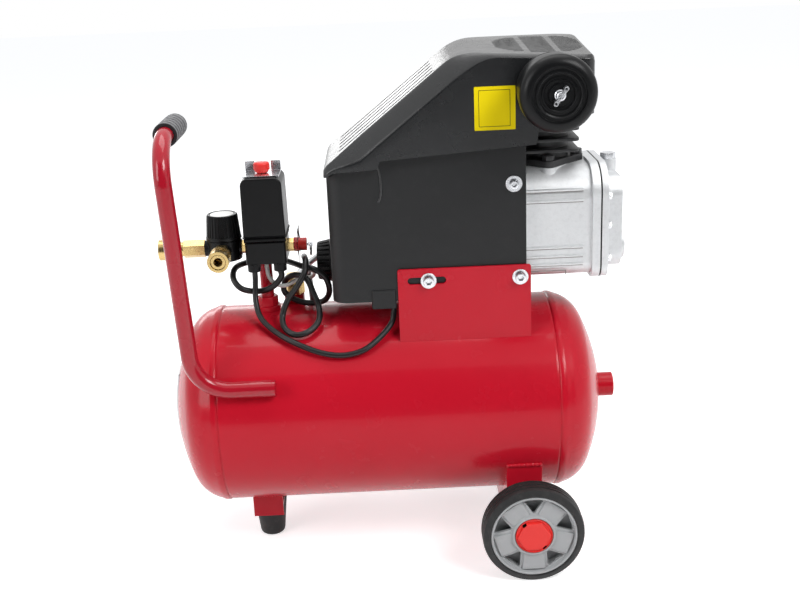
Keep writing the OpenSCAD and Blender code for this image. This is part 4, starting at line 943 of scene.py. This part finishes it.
# %% Hub cap
HEX_R = 20.6
cap = turned("near_hub_cap", "Y", HUB, near([
    (FACE - 3, 0), (FACE - 3, 22.4), (OUT - 2.6, 22.6), (OUT - 2.0, 22.4), (OUT - 1.7, 22.0),
    (OUT - 1.7, 21.5), (OUT - 3.2, 21.1), (OUT - 3.2, 0)]))
sixths = [math.radians(60 * k + 4) for k in range(6)]
hex_ring = [(WHEEL_X + HEX_R * math.cos(a), WHEEL_R + HEX_R * math.sin(a)) for a in sixths]
hex_face = pressed("hex_face", "Y", hex_ring, -OUT + 4, -OUT + 0.2)
round_edges(cap, 0.4, clamp=False)
round_edges(hex_face, 0.8, 3)
paint(SIGNAL_RED, cap, hex_face)
for angle in (38, 218):
    notch = boxed("notch", "Y", WHEEL_X - 2.8, WHEEL_X + 2.8, WHEEL_R + 18.2, WHEEL_R + 21.4,
                  -OUT - 2, -OUT + 5, 0.8, 3)
    paint(SLOT_SHADOW, turned_about(notch, "Y", HUB, -angle))
    cut(hex_face, copied(notch, "notch_copy"))
    cut(cap, notch)
both_wheels(joined(cap, hex_face), SIGNAL_RED, "red_plastic", "cap")

# %% [markdown]
# ## Hood
#
# The hood is one moulding: a long slope with a wide rounded shoulder, a flat top whose far corner is well
# rounded, and a lower edge that steps up over the cylinder. No primitive has this form, so it is lofted: a
# cross section is worked out at each of some sixty places along the machine and the sections are joined. A
# Solidify modifier gives it its wall, and the air slots are cut last.

# %% Sizes of the hood
COWL_X0, COWL_X1, COWL_HALF, HOOD_HALF, HOOD_TOP, HOOD_X1 = -62, 172, 73, 86, 637, 250
HOOD_LEFT_Z, HOOD_X0, CREST_X, CREST_R = 510, -64, 99, 61
FOOT_Z, FOOT_RISE, FOOT_DIP, TIP_DIP, NOTCH_X, NOTCH_Z, NOTCH_RISE = 516.4, 0.0647, 9, 5, 182, 528.2, 32
LEFT_R, SHOULDER, SHOULDER_MIN = 6, 27, {-1: 5, 1: 12}
SLOPE = math.atan2(HOOD_TOP - HOOD_LEFT_Z, CREST_X - COWL_X0)
print(f"the hood slopes by {math.degrees(SLOPE):.1f} degrees")


# %% A skin over sections
def lofted(name, rings):
    """A skin over sections that all have the same number of drawing points, closed at both ends."""
    count = len(rings[0])
    corners = [at(*p) for ring in rings for p in ring]
    faces = [(i * count + k, i * count + k + 1, (i + 1) * count + k + 1, (i + 1) * count + k)
             for i in range(len(rings) - 1) for k in range(count - 1)]
    faces += [tuple(range(count)), tuple(reversed(range(len(corners) - count, len(corners))))]
    mesh = bpy.data.meshes.new(name)
    mesh.from_pydata(corners, [], faces)
    piece = bpy.data.objects.new(name, mesh)
    bpy.context.scene.collection.objects.link(piece)
    use(piece)
    bpy.ops.object.mode_set(mode="EDIT")
    close_mesh()
    return piece


print("sections can be joined")


# %% Lines of the hood
def ease(t):
    """Go smoothly from 0 to 1 while t does."""
    t = min(max(t, 0), 1)
    return t * t * (3 - 2 * t)


def hood_roof(x):
    """Height of the hood's ridge line: the slope, the round crest and the flat top."""
    reach = CREST_R * math.tan(SLOPE / 2)
    start, end = CREST_X - reach * math.cos(SLOPE), CREST_X + reach
    if x <= start:
        return HOOD_LEFT_Z + (x - COWL_X0) * math.tan(SLOPE)
    if x >= end:
        return HOOD_TOP
    return HOOD_TOP - CREST_R + math.sqrt(CREST_R ** 2 - (end - x) ** 2)


def hood_foot(x):
    """Height of the hood's lower edge: it dips at the left and steps up over the cylinder."""
    if x < NOTCH_X:
        dip = FOOT_DIP * (1 - ease((x + 2) / 5)) + TIP_DIP * (1 - ease((x - HOOD_X0) / 14))
        return FOOT_Z + FOOT_RISE * x - dip
    return NOTCH_Z + NOTCH_RISE * ease((x - NOTCH_X) / 6)


def hood_width(x, end_radius):
    """Half width in plan, drawn in round the right-hand corner."""
    into = x - (HOOD_X1 - end_radius)
    left_in = max(0.0, HOOD_X0 + LEFT_R - x)
    narrow = LEFT_R - math.sqrt(LEFT_R ** 2 - left_in ** 2) + 6 * (1 - ease((x - HOOD_X0) / 44))
    if into <= 0:
        return HOOD_HALF - narrow
    return HOOD_HALF - end_radius + math.sqrt(max(0.0, end_radius ** 2 - into ** 2))


print(f"lower edge {hood_foot(HOOD_X0):.0f} at the left and {hood_foot(HOOD_X1):.0f} at the right")

# %% Loft the hood
# The shoulder in section: how far in from the side and how far down from the roof, as shares of its size.
CHAMFER = ((0, 1), (0.02, 0.90), (0.10, 0.77), (0.36, 0.50), (0.62, 0.24), (0.83, 0.07), (0.93, 0.015),
           (1, 0))


def hood_section(x):
    """Points from the near lower edge over the roof to the far lower edge."""
    lowered = max(0.0, HOOD_X0 + LEFT_R - x) ** 2 / 12 + max(0.0, x - (HOOD_X1 - 5)) ** 2 / 6
    roof, foot = hood_roof(x) - lowered, hood_foot(x)
    near_drop = 3 * ease((x - 76) / 34) + 7.5 * min(max((x - 100) / 150, 0), 1)
    sides = []
    for sign, end_radius, drop in ((-1, 12, near_drop), (1, 36, 0)):
        width = hood_width(x, end_radius)
        narrowed = (SHOULDER_MIN[sign] - SHOULDER) * ease((x - 80) / 60)
        shoulder = min(SHOULDER + narrowed, (roof - foot) * 0.75)
        edge = roof - drop
        side = [(x, sign * width, foot), (x, sign * width, foot + 0.5 * (edge - shoulder - foot))]
        for inset, below in CHAMFER:
            side.append((x, sign * (width - shoulder * inset * 0.92), edge - shoulder * below))
        side.append((x, sign * 40, roof - drop * 0.7))
        sides.append(side)
    return sides[0] + list(reversed(sides[1]))


stations = [
    -64, -63.7, -63, -62, -60.5, -59, -57, -54, -48, -40, -30, -20, -10, -3, -2, -1, 0, 1, 2, 3, 4, 10, 20,
    35, 50, 60, 70, 76, 80, 85, 90, 95, 100, 105, 110, 115, 119, 125, 132, 142, 155, 168, 180, 182, 183,
    184.5, 186, 187, 188, 196, 206, 214, 219, 224, 228, 232, 236, 239, 242, 244, 246, 247.5, 248.7, 249.5,
    250,
]
hood = lofted("hood_shell", [hood_section(x) for x in stations])
print("hood skin:", len(hood.data.polygons), "faces")

# %% Wall and air slots of the hood
HOOD_WALL = 3
modify(hood, "SOLIDIFY", thickness=HOOD_WALL * MM, offset=-1, use_even_offset=True)
slot_cutters = []
SLOPE_MID = at((COWL_X0 + CREST_X) / 2, 0, (HOOD_LEFT_Z + HOOD_TOP) / 2)
lean = Matrix.Rotation(-SLOPE, 4, "Y")
onto_slope = Matrix.Translation(SLOPE_MID) @ lean @ Matrix.Translation(-at(0, 0, 0))
for y in (-48, -24, 0, 24, 48):
    slot = boxed("slope_slot", "Z", -82, 64, y - 3.6, y + 3.6, -9, 9, 3.4)
    slot.data.transform(onto_slope)
    slot_cutters.append(slot)
VENT_X, VENT_Y, VENT_LONG, VENT_WIDE, VENT_PITCH = 193, -8, 54, 66, 7.4
for middle in (-36, 0, 36):
    for k in range(-8, 9):
        y = VENT_PITCH * k
        reach = VENT_LONG * math.sqrt(max(0.0, 1 - (y / VENT_WIDE) ** 2))
        low, high = max(middle - 15, -reach), min(middle + 15, reach)
        if high - low > 4:
            vent = boxed("vent", "Z", VENT_X + low, VENT_X + high, VENT_Y + y - 1.6, VENT_Y + y + 1.6,
                         HOOD_TOP - 18, HOOD_TOP + 5, 1.5, 3)
            slot_cutters.append(vent)
slots = joined(*slot_cutters)
paint(SLOT_SHADOW, slots)
paint(GRAINED_BLACK, hood)
cut(hood, slots)
hand_over(hood, GRAINED_BLACK, "black_plastic", "hood", angle=32)

# %% Sticker
FOIL = -HOOD_HALF
sticker = boxed("sticker", "Y", 111.6, 158.4, 547, 596.5, FOIL - 0.35, FOIL - 0.02, 1.2)
frame_line = boxed("sticker_line", "Y", 116.5, 152.5, 551, 592.5, FOIL - 0.45, FOIL - 0.30, 0.8)
field = boxed("sticker_field", "Y", 117.1, 151.9, 551.6, 591.9, FOIL - 0.50, FOIL - 0.30, 0.6)
paint(YELLOW_STICKER, sticker, field)
paint(SATIN_BLACK, frame_line)
hand_over(joined(sticker, frame_line, field), YELLOW_STICKER, "pale_plastic")

# %% [markdown]
# ## Cowl
#
# Below the hood a plain cowl wraps the motor. It is open above, below and on the pump's side, and its left
# end is a grille. A raised lip marks off its upper left corner, below the step in the hood's edge. The
# sheet's own outline, seen from above, is a U with two round corners, so it is pressed upwards in one go.

# %% Cowl
COWL_LOW, COWL_TOP, COWL_WALL, COWL_R = 343, 530, 3.4, 18
inner_half, inner_x0, inner_r = COWL_HALF - COWL_WALL, COWL_X0 + COWL_WALL, COWL_R - COWL_WALL
cowl = pressed("cowl_shell", "Z", rounded([
    (COWL_X1, -COWL_HALF, 0), (COWL_X0, -COWL_HALF, COWL_R), (COWL_X0, COWL_HALF, COWL_R),
    (COWL_X1, COWL_HALF, 0), (COWL_X1, inner_half, 0), (inner_x0, inner_half, inner_r),
    (inner_x0, -inner_half, inner_r), (COWL_X1, -inner_half, 0)], 8), COWL_LOW, COWL_TOP)
grille = [boxed("grille", "X", y - 2.5, y + 2.5, 442, 500, COWL_X0 - 5, COWL_X0 + 8, 2.4)
          for y in range(-45, 46, 9)]
LID_GAP = 16
under = [HOOD_LEFT_Z + x * math.tan(SLOPE) - LID_GAP for x in (4, 60)]
lid_edge = pressed("lid_edge", "Y", [
    (COWL_X0 - 5, under[0]), (COWL_X0 + 4, under[0]), (COWL_X0 + 60, under[1]), (COWL_X0 - 5, under[1]),
], -100, 100)
cut(cowl, joined(*grille), lid_edge)
block = boxed("cable_block", "Z", -15, 15, -COWL_HALF - 1.6, -COWL_HALF + 24, 334, 358, 3)
round_edges(cowl, 0.8, clamp=False)
round_edges(block, 1.5, 3)
LIP_LINE = [(-2, 513), (0, 506), (1.4, 498), (2, 488), (1.8, 479), (0.6, 471), (-1.5, 466)]
lip_route = smooth_route([(x, -COWL_HALF + 0.2, z) for x, z in LIP_LINE], 4)
lip = tube_mesh("cowl_lip", lip_route, 3.6, GRAINED_BLACK, 6)
paint(COWL_BLACK, cowl, block)
hand_over(joined(cowl, block, lip), COWL_BLACK, "black_plastic", "motor_cowl", angle=32)

# %% Ribbed end cap
CAP_AXIS = (COWL_X0, 13, 374)
knob = turned("end_cap", "X", CAP_AXIS, [
    (0, 0), (0, 27.6), (-3, 27.6), (-4, 26.6), (-17.5, 24.2), (-19.4, 23.4), (-20, 22), (-20, 18),
    (-17.4, 16.6), (-17, 0)])
grooves = []
cap_y, cap_z = CAP_AXIS[1:]
for k in range(24):
    groove = boxed("groove", "X", cap_y - 1.3, cap_y + 1.3, cap_z + 23.6, cap_z + 32,
                   COWL_X0 - 22, COWL_X0 - 4, 1, 3)
    grooves.append(turned_about(groove, "X", CAP_AXIS, 15 * k))
cut(knob, joined(*grooves))
round_edges(knob, 0.4, clamp=False)
hand_over(knob, SATIN_BLACK, "black_plastic", "cowl_cap")

# %% [markdown]
# ## Air filter
#
# The filter is a moulded drum on a short intake pipe. Its cover has a rounded rim and rings that step in
# towards the middle, where a zinc wing nut holds it. Drum and cover are turned.

# %% Filter drum and cover
FILTER_X, FILTER_Z = 199, 592
FILTER = (FILTER_X, 0, FILTER_Z)
drum = turned("filter_drum", "Y", FILTER, [
    (-40.5, 8), (-40.5, 11), (-94, 11), (-95, 12.5), (-95, 39.6), (-96, 41), (-98, 41.2), (-99.2, 40.4),
    (-101.5, 40.4), (-102.6, 41.2), (-124.2, 41.2), (-124.2, 37), (-98, 37), (-98, 8), (-40.5, 8)], 112)
hand_over(drum, SATIN_BLACK, "black_plastic", "filter_housing")
cover = turned("filter_lid", "Y", FILTER, [
    (-124, 0), (-124, 42), (-125, 43), (-137, 43), (-140, 42.4), (-143, 40.6), (-145.6, 37.6), (-147, 34.4),
    (-147.4, 31.5), (-147.2, 30.2), (-145.6, 29.4), (-145.2, 28.4), (-145.4, 26.8), (-146.6, 26.0),
    (-146.8, 24.4), (-146.2, 23.4), (-144.6, 22.8), (-144.3, 21.6), (-144.6, 20.2), (-145.8, 19.4),
    (-145.9, 17.8), (-145.2, 16.9), (-143.8, 16.4), (-143.6, 12.6), (-144.4, 12.0), (-147.8, 11.6),
    (-147.9, 4), (-146, 3.2), (-146, 0)], 112)
hand_over(cover, SATIN_BLACK, "black_plastic", "filter_cover", angle=30)

# %% Wing nut
NUT_Y = -148.3
NUT = (FILTER_X, NUT_Y, FILTER_Z)
WING = [(2, -1.9, 0), (9, -2.6, 1), (12.4, -2.2, 2.0), (12.4, 2.2, 2.0), (9, 2.6, 1), (2, 1.9, 0)]
nut = turned("wing_boss", "Y", NUT, [
    (0, 0), (0, 6.2), (-1.2, 6.2), (-1.8, 5.4), (-6.2, 4.6), (-7, 3.6), (-7, 2.2), (-6.2, 1.9),
    (-6.2, 0)], 48)
wings = []
for side in (-1, 1):
    outline = [(FILTER_X + side * out, FILTER_Z + up, radius) for out, up, radius in WING]
    wing = pressed("wing", "Y", rounded(outline[::side], 4), NUT_Y - 8.6, NUT_Y - 3)
    hole_axis = (FILTER_X + side * 9.6, NUT_Y, FILTER_Z)
    cut(wing, turned("wing_hole", "Y", hole_axis, [(-10, 0), (-10, 1.3), (0, 1.3), (0, 0)], 24))
    round_edges(wing, 0.5, clamp=False)
    wings.append(wing)
nut = turned_about(joined(nut, *wings), "Y", NUT, -55)
hand_over(nut, BRIGHT_ZINC, "zinc_steel", "wing_nut", body="wing")


# %% [markdown]
# ## Pump
#
# The crankcase and its cover are die castings: flat walls with ribs, a flange with screws all round, and a
# rounded shoulder. The drawing has them in full, so they are copied and their edges rounded, as a casting's
# edges are. The cylinder is a black iron casting with fins that stands corner to corner on the case, on a
# silver pad.

# %% Castings
CASE_TOP, HEAD_TOP, CYL_X = 492, 606, 203
copy_nodes(CAST_ALUMINIUM, "cast_aluminium", ("crankcase_casting", "crankcase", 0.6),
           ("cover_casting", "crankcase_cover", 0.6), ("head_casting", "cylinder_head", 0.7))
copy_nodes(BLACK_IRON, "black_iron", ("cylinder_casting", "cylinder_block", 0.8))
copy_nodes(SATIN_BLACK, "black_plastic", ("gasket_sheet", "cover_gasket", 0))
copy_nodes(BRIGHT_ZINC, "zinc_steel", ("filler_plug", "oil_plug", 0.7))
copy_nodes(OIL_GLASS, "clear", ("oil_window", "sight_glass", 0.5))

# %% Painted shade under the ribs
# Thin dark strips under each rib and along the lower ledge are painted shade: they stand in for the shadow in
# the casting's corners.
RIB_LINES = [(172.6, 241.4, rib - 1.2, rib + 0.1) for rib in (376, 386, 397, 454, 467)]
LEDGE_LINES = [(172.6, 221, 368.8, 369.8), (220, 221.4, 364.6, 369.8)]
lines = [boxed("rib_line", "Z", x0, x1, y - 0.5, y + 0.5, z0, z1, 0.4, 2)
         for x0, x1, z0, z1 in RIB_LINES + LEDGE_LINES for y in (-62, 62)]
rib_shade = joined(*lines)
rib_shade.name = "rib_grime"
hand_over(rib_shade, DARK_STEEL, "cast_aluminium")

# %% [markdown]
# ## Sheet metal and running gear
#
# Saddle plates, wheel bracket and foot bracket are cut from red sheet, folded and welded on. Sheet has a
# small burr-free radius on every edge. The bracket's weld is a bead of lumps, like the handle's. The rubber
# foot is turned: it is wider above than below, with a soft rim on the floor.

# %% Sheet pieces
copy_nodes(RED_ENAMEL, "red_paint", ("saddle_sheets", "saddle_plates", 0.6),
           ("bracket_sheet", "wheel_bracket", 0.8), ("foot_sheet", "foot_bracket", 0.6),
           ("welded_ports", "tank_ports", 0.5))
copy_nodes(BRIGHT_ZINC, "zinc_steel", ("axle_rod", "axle", 0.5))
copy_nodes(PLATE_ALUMINIUM, "cast_aluminium", ("bare_plate", "data_plate", 0))
BRACKET_SIDE = 112.5
weld_z = TANK_Z - math.sqrt(TANK_R ** 2 - BRACKET_SIDE ** 2)
bracket_weld = weld_bead("bracket_weld", [(143 + 2.1 * k, -113.2, weld_z - 0.6) for k in range(20)], 2.3)
hand_over(bracket_weld, RED_ENAMEL, "red_paint", angle=60)

# %% Rubber foot
foot = turned("foot_block", "Z", (-165, 0, 0), [
    (0, 0), (0, 11.6), (0.5, 13.8), (1.8, 15.4), (4, 16.4), (9, 17.0), (30, 19.2), (46, 21.0), (49.6, 21.5),
    (51.4, 21.2), (52, 20.2), (52, 0)], 72)
hand_over(foot, TYRE_RUBBER, "black_rubber", "rubber_foot")

# %% [markdown]
# ## Screws
#
# Two kinds of screw hold the machine together: socket heads on wide washers where the camera sees them, and
# plain hexagons on the pump. Both are small turned or pressed solids with broken edges. All of them are one
# piece.


# %% Screw shapes
def hexagon(name, axis, centre, across_flats, low, high, edge=0.7):
    """A hexagon bar along an axis, with its edges broken."""
    reach = across_flats / 2 / math.cos(math.pi / 6)
    turns = [math.pi / 3 * k for k in range(6)]
    ring = [(centre[0] + reach * math.cos(a), centre[1] + reach * math.sin(a)) for a in turns]
    bar = pressed(name, axis, ring, low, high)
    round_edges(bar, edge)
    return bar


def socket_screw(x, z, y0, washer, head, tall):
    """A washer and a socket head on the near side of the plane y = y0."""
    ring = turned("washer", "Y", (x, 0, z), [
        (y0, head - 2), (y0, washer - 0.4), (y0 - 0.4, washer), (y0 - 1.2, washer), (y0 - 1.6, washer - 0.4),
        (y0 - 1.6, head - 2), (y0, head - 2)], 56)
    top = y0 - 1.6 - tall
    bolt = turned("socket_head", "Y", (x, 0, z), [
        (y0 - 1.4, 0), (y0 - 1.4, head), (top + 0.9, head), (top + 0.25, head - 0.3), (top, head - 1.0),
        (top, 0)], 56)
    cut(bolt, hexagon("recess", "Y", (x, z), head * 0.98, top - 2, top + tall * 0.7, 0.05))
    round_edges(bolt, 0.25, angle=50, clamp=False)
    return joined(ring, bolt)


print("screw shapes are ready")

# %% All screws
near_screws = [socket_screw(54, 368, -76, 9.6, 6.4, 5.2), socket_screw(164, 368, -76, 9.6, 6.4, 5.2),
               socket_screw(157.5, 481, -73, 9.8, 5.4, 4.2)]
near_screws += [hexagon("cover_screw", "X", (-59, z), 8, 271.5, 275.5, 0.5) for z in (382, 422, 458)]
near_screws += [hexagon("head_bolt", "Z", (CYL_X + side, -31), 13, HEAD_TOP, HEAD_TOP + 6)
                for side in (-31, 31)]
near_side = joined(*near_screws)
screws = joined(near_side, far_copy(near_side, "far_screws"), hexagon("foot_nut", "Z", (-165, 0), 13, 55, 61))
screws.name = "fasteners"
hand_over(screws, BRIGHT_ZINC, "zinc_steel", "bolts")
STUD_R = 39.6
STUD = [(12, 0), (12, 3.9), (13.6, 3.9), (14.4, 3.2), (14.4, 0)]
stud_nuts = []
for dx, y in ((0, -STUD_R), (0, STUD_R), (-STUD_R, 0), (STUD_R, 0)):
    stud_nuts.append(hexagon("stud_nut", "Z", (CYL_X + dx, y), 13, CASE_TOP + 8, CASE_TOP + 14))
    stud_nuts.append(turned("stud", "Z", (CYL_X + dx, y, CASE_TOP), STUD, 32))
base_nuts = joined(*stud_nuts)
base_nuts.name = "base_nuts"
hand_over(base_nuts, BLACK_IRON, "black_iron")

# %% [markdown]
# ## Controls
#
# The pressure switch is a black box on the riser with a red knob that is pulled up to run. Beside it the
# regulator has a fluted knob with a pale disc on top, and the outlets are brass quick couplers. The box is
# pressed, with round edges that are wide enough to be seen, and the knobs are turned.

# %% Pressure switch
box = pressed("switch_box", "Y", rounded([
    (SWITCH_X - 26, 411, 1), (SWITCH_X + 26, 411, 1), (SWITCH_X + 25, 491, 9), (SWITCH_X - 25, 491, 9),
], 8), -30, 30)
seam = boxed("seam", "Z", SWITCH_X - 40, SWITCH_X + 40, -40, 40, 417.4, 418.4, 0)
core = boxed("core", "Z", SWITCH_X - 25.2, SWITCH_X + 25.2, -29.3, 29.3, 416, 420, 1.5, 3)
cut(seam, core)
cut(box, seam)
round_edges(box, 2.0, 3, clamp=False)
hand_over(box, SATIN_BLACK, "black_plastic", "switch_cover")
copy_nodes(SATIN_BLACK, "black_plastic", ("switch_foot", "switch_base", 1.0))
copy_nodes(BRIGHT_ZINC, "zinc_steel", ("switch_ears", "switch_bracket", 0.3))
pull = turned("pull_knob", "Z", (SWITCH_X, 0, 0), [
    (479, 0), (479, 5), (492.6, 5), (493.1, 6.6), (493.5, 7.7), (496.6, 9.6), (497.6, 10), (502.6, 10),
    (504.2, 9.6), (505.3, 8.6), (505.9, 7.0), (506.1, 5.0), (506.1, 0)], 72)
hand_over(pull, SIGNAL_RED, "red_plastic", "switch_knob", body="on_off_knob")

# %% Regulator
REGULATOR = (-196, 0, 0)
grip_knob = turned("fluted_knob", "Z", REGULATOR, [
    (411.5, 0), (411.5, 21.2), (412.2, 22), (414.6, 22), (415.2, 21.4), (440.6, 19.3), (442.4, 18.9),
    (443.4, 17.8), (443.5, 16.6), (442.9, 15.4), (442, 15), (442, 0)], 120)
flutes = []
FLUTE_X, FLUTE_Z, FLUTE_LEAN = REGULATOR[0] + 20.2, 416.4, -4.6
for k in range(30):
    flute = boxed("flute", "Z", FLUTE_X, REGULATOR[0] + 26, -1.1, 1.1, FLUTE_Z, 448, 0.9, 3)
    turned_about(flute, "Y", (FLUTE_X, 0, FLUTE_Z), FLUTE_LEAN)
    flutes.append(turned_about(flute, "Z", REGULATOR, 12 * k))
cut(grip_knob, joined(*flutes))
hand_over(grip_knob, SATIN_BLACK, "black_plastic", "regulator_knob", body="pressure_knob")
disc = turned("dial_disc", "Z", REGULATOR, [
    (442.05, 0), (442.05, 14.7), (442.9, 14.7), (443.2, 14.3), (443.2, 0)], 72)
hand_over(disc, PALE_PLASTIC, "pale_plastic", "knob_disc", body="pressure_knob")
copy_nodes(SATIN_BLACK, "black_plastic", ("regulator_block", "regulator_body", 0.8))

# %% Brass
copy_nodes(TURNED_BRASS, "brass", ("fittings", "brass_fittings", 0.5),
           ("front_ring", "front_sleeve", 0.4, "front_coupler_sleeve"),
           ("left_ring", "left_sleeve", 0.4, "left_coupler_sleeve"), ("check_block", "check_valve", 0.6),
           ("drain_cock", "drain_screw", 0.3, "drain"))
copy_nodes(SIGNAL_RED, "red_paint", ("relief_valve", "safety_valve", 0.5))
copy_nodes(BRIGHT_ZINC, "brass", ("pull_ring", "safety_ring", 0, "safety_pull"))

# %% [markdown]
# ## Pipes
#
# The delivery pipe climbs the far side from the check valve to the head. A thin pale tube lets the pressure
# out of it when the switch opens. Both are bent tubes, so they follow the same route points as the drawing.

# %% Delivery pipe and unloader tube
PIPE_ROUTE = [
    (-116, 51, 334), (-116, 63, 334), (-112, 84, 338), (-96, 102, 348), (-60, 106, 372), (40, 106, 450),
    (140, 106, 534), (178, 106, 564), (196, 102, 576), (CYL_X, 86, 578), (CYL_X, 62, 578), (CYL_X, 40, 578),
]
pipe = tube_mesh("riser_pipe", smooth_route(PIPE_ROUTE, 8), 8.8, PLATE_ALUMINIUM, 6)
nuts = joined(hexagon("head_nut", "Y", (CYL_X, 578), 15, 41, 52),
              hexagon("valve_nut", "Y", (-116, 334), 15, 52, 62))
paint(TURNED_BRASS, nuts)
hand_over(joined(pipe, nuts), PLATE_ALUMINIUM, "cast_aluminium", "delivery_pipe")
UNLOADER_ROUTE = [
    (-144, -14, 384), (-144, -14, 374), (-142, -13, 362), (-134, -13, 353), (-123, -14, 351),
    (-111, -11, 356), (-101, -5, 362), (-93, 4, 364), (-89, 17, 359), (-89, 27, 351), (-94, 31, 347),
    (-100, 31, 347),
]
bleed = tube_mesh("bleed_tube", smooth_route(UNLOADER_ROUTE, 8), 5.0, PALE_PLASTIC, 5)
hand_over(bleed, PALE_PLASTIC, "pale_plastic", "unloader_tube")

# %% Pieces inside
INSIDE = {
    "fan": SATIN_BLACK, "rotor": DARK_STEEL, "stator": DARK_STEEL,
    "crankshaft": BRIGHT_ZINC, "bearings": BRIGHT_ZINC, "con_rod": BRIGHT_ZINC, "valve_plate": BRIGHT_ZINC,
    "piston": CAST_ALUMINIUM, "motor_housing": CAST_ALUMINIUM,
}
for name, material in INSIDE.items():
    node = frame["nodes"][name]
    if node.material_slots:
        node.material_slots[0].material = material
    else:
        paint(material, node)
print(len(INSIDE), "pieces inside keep the drawing's form")


# %% Leave nothing selected
clear_selection()
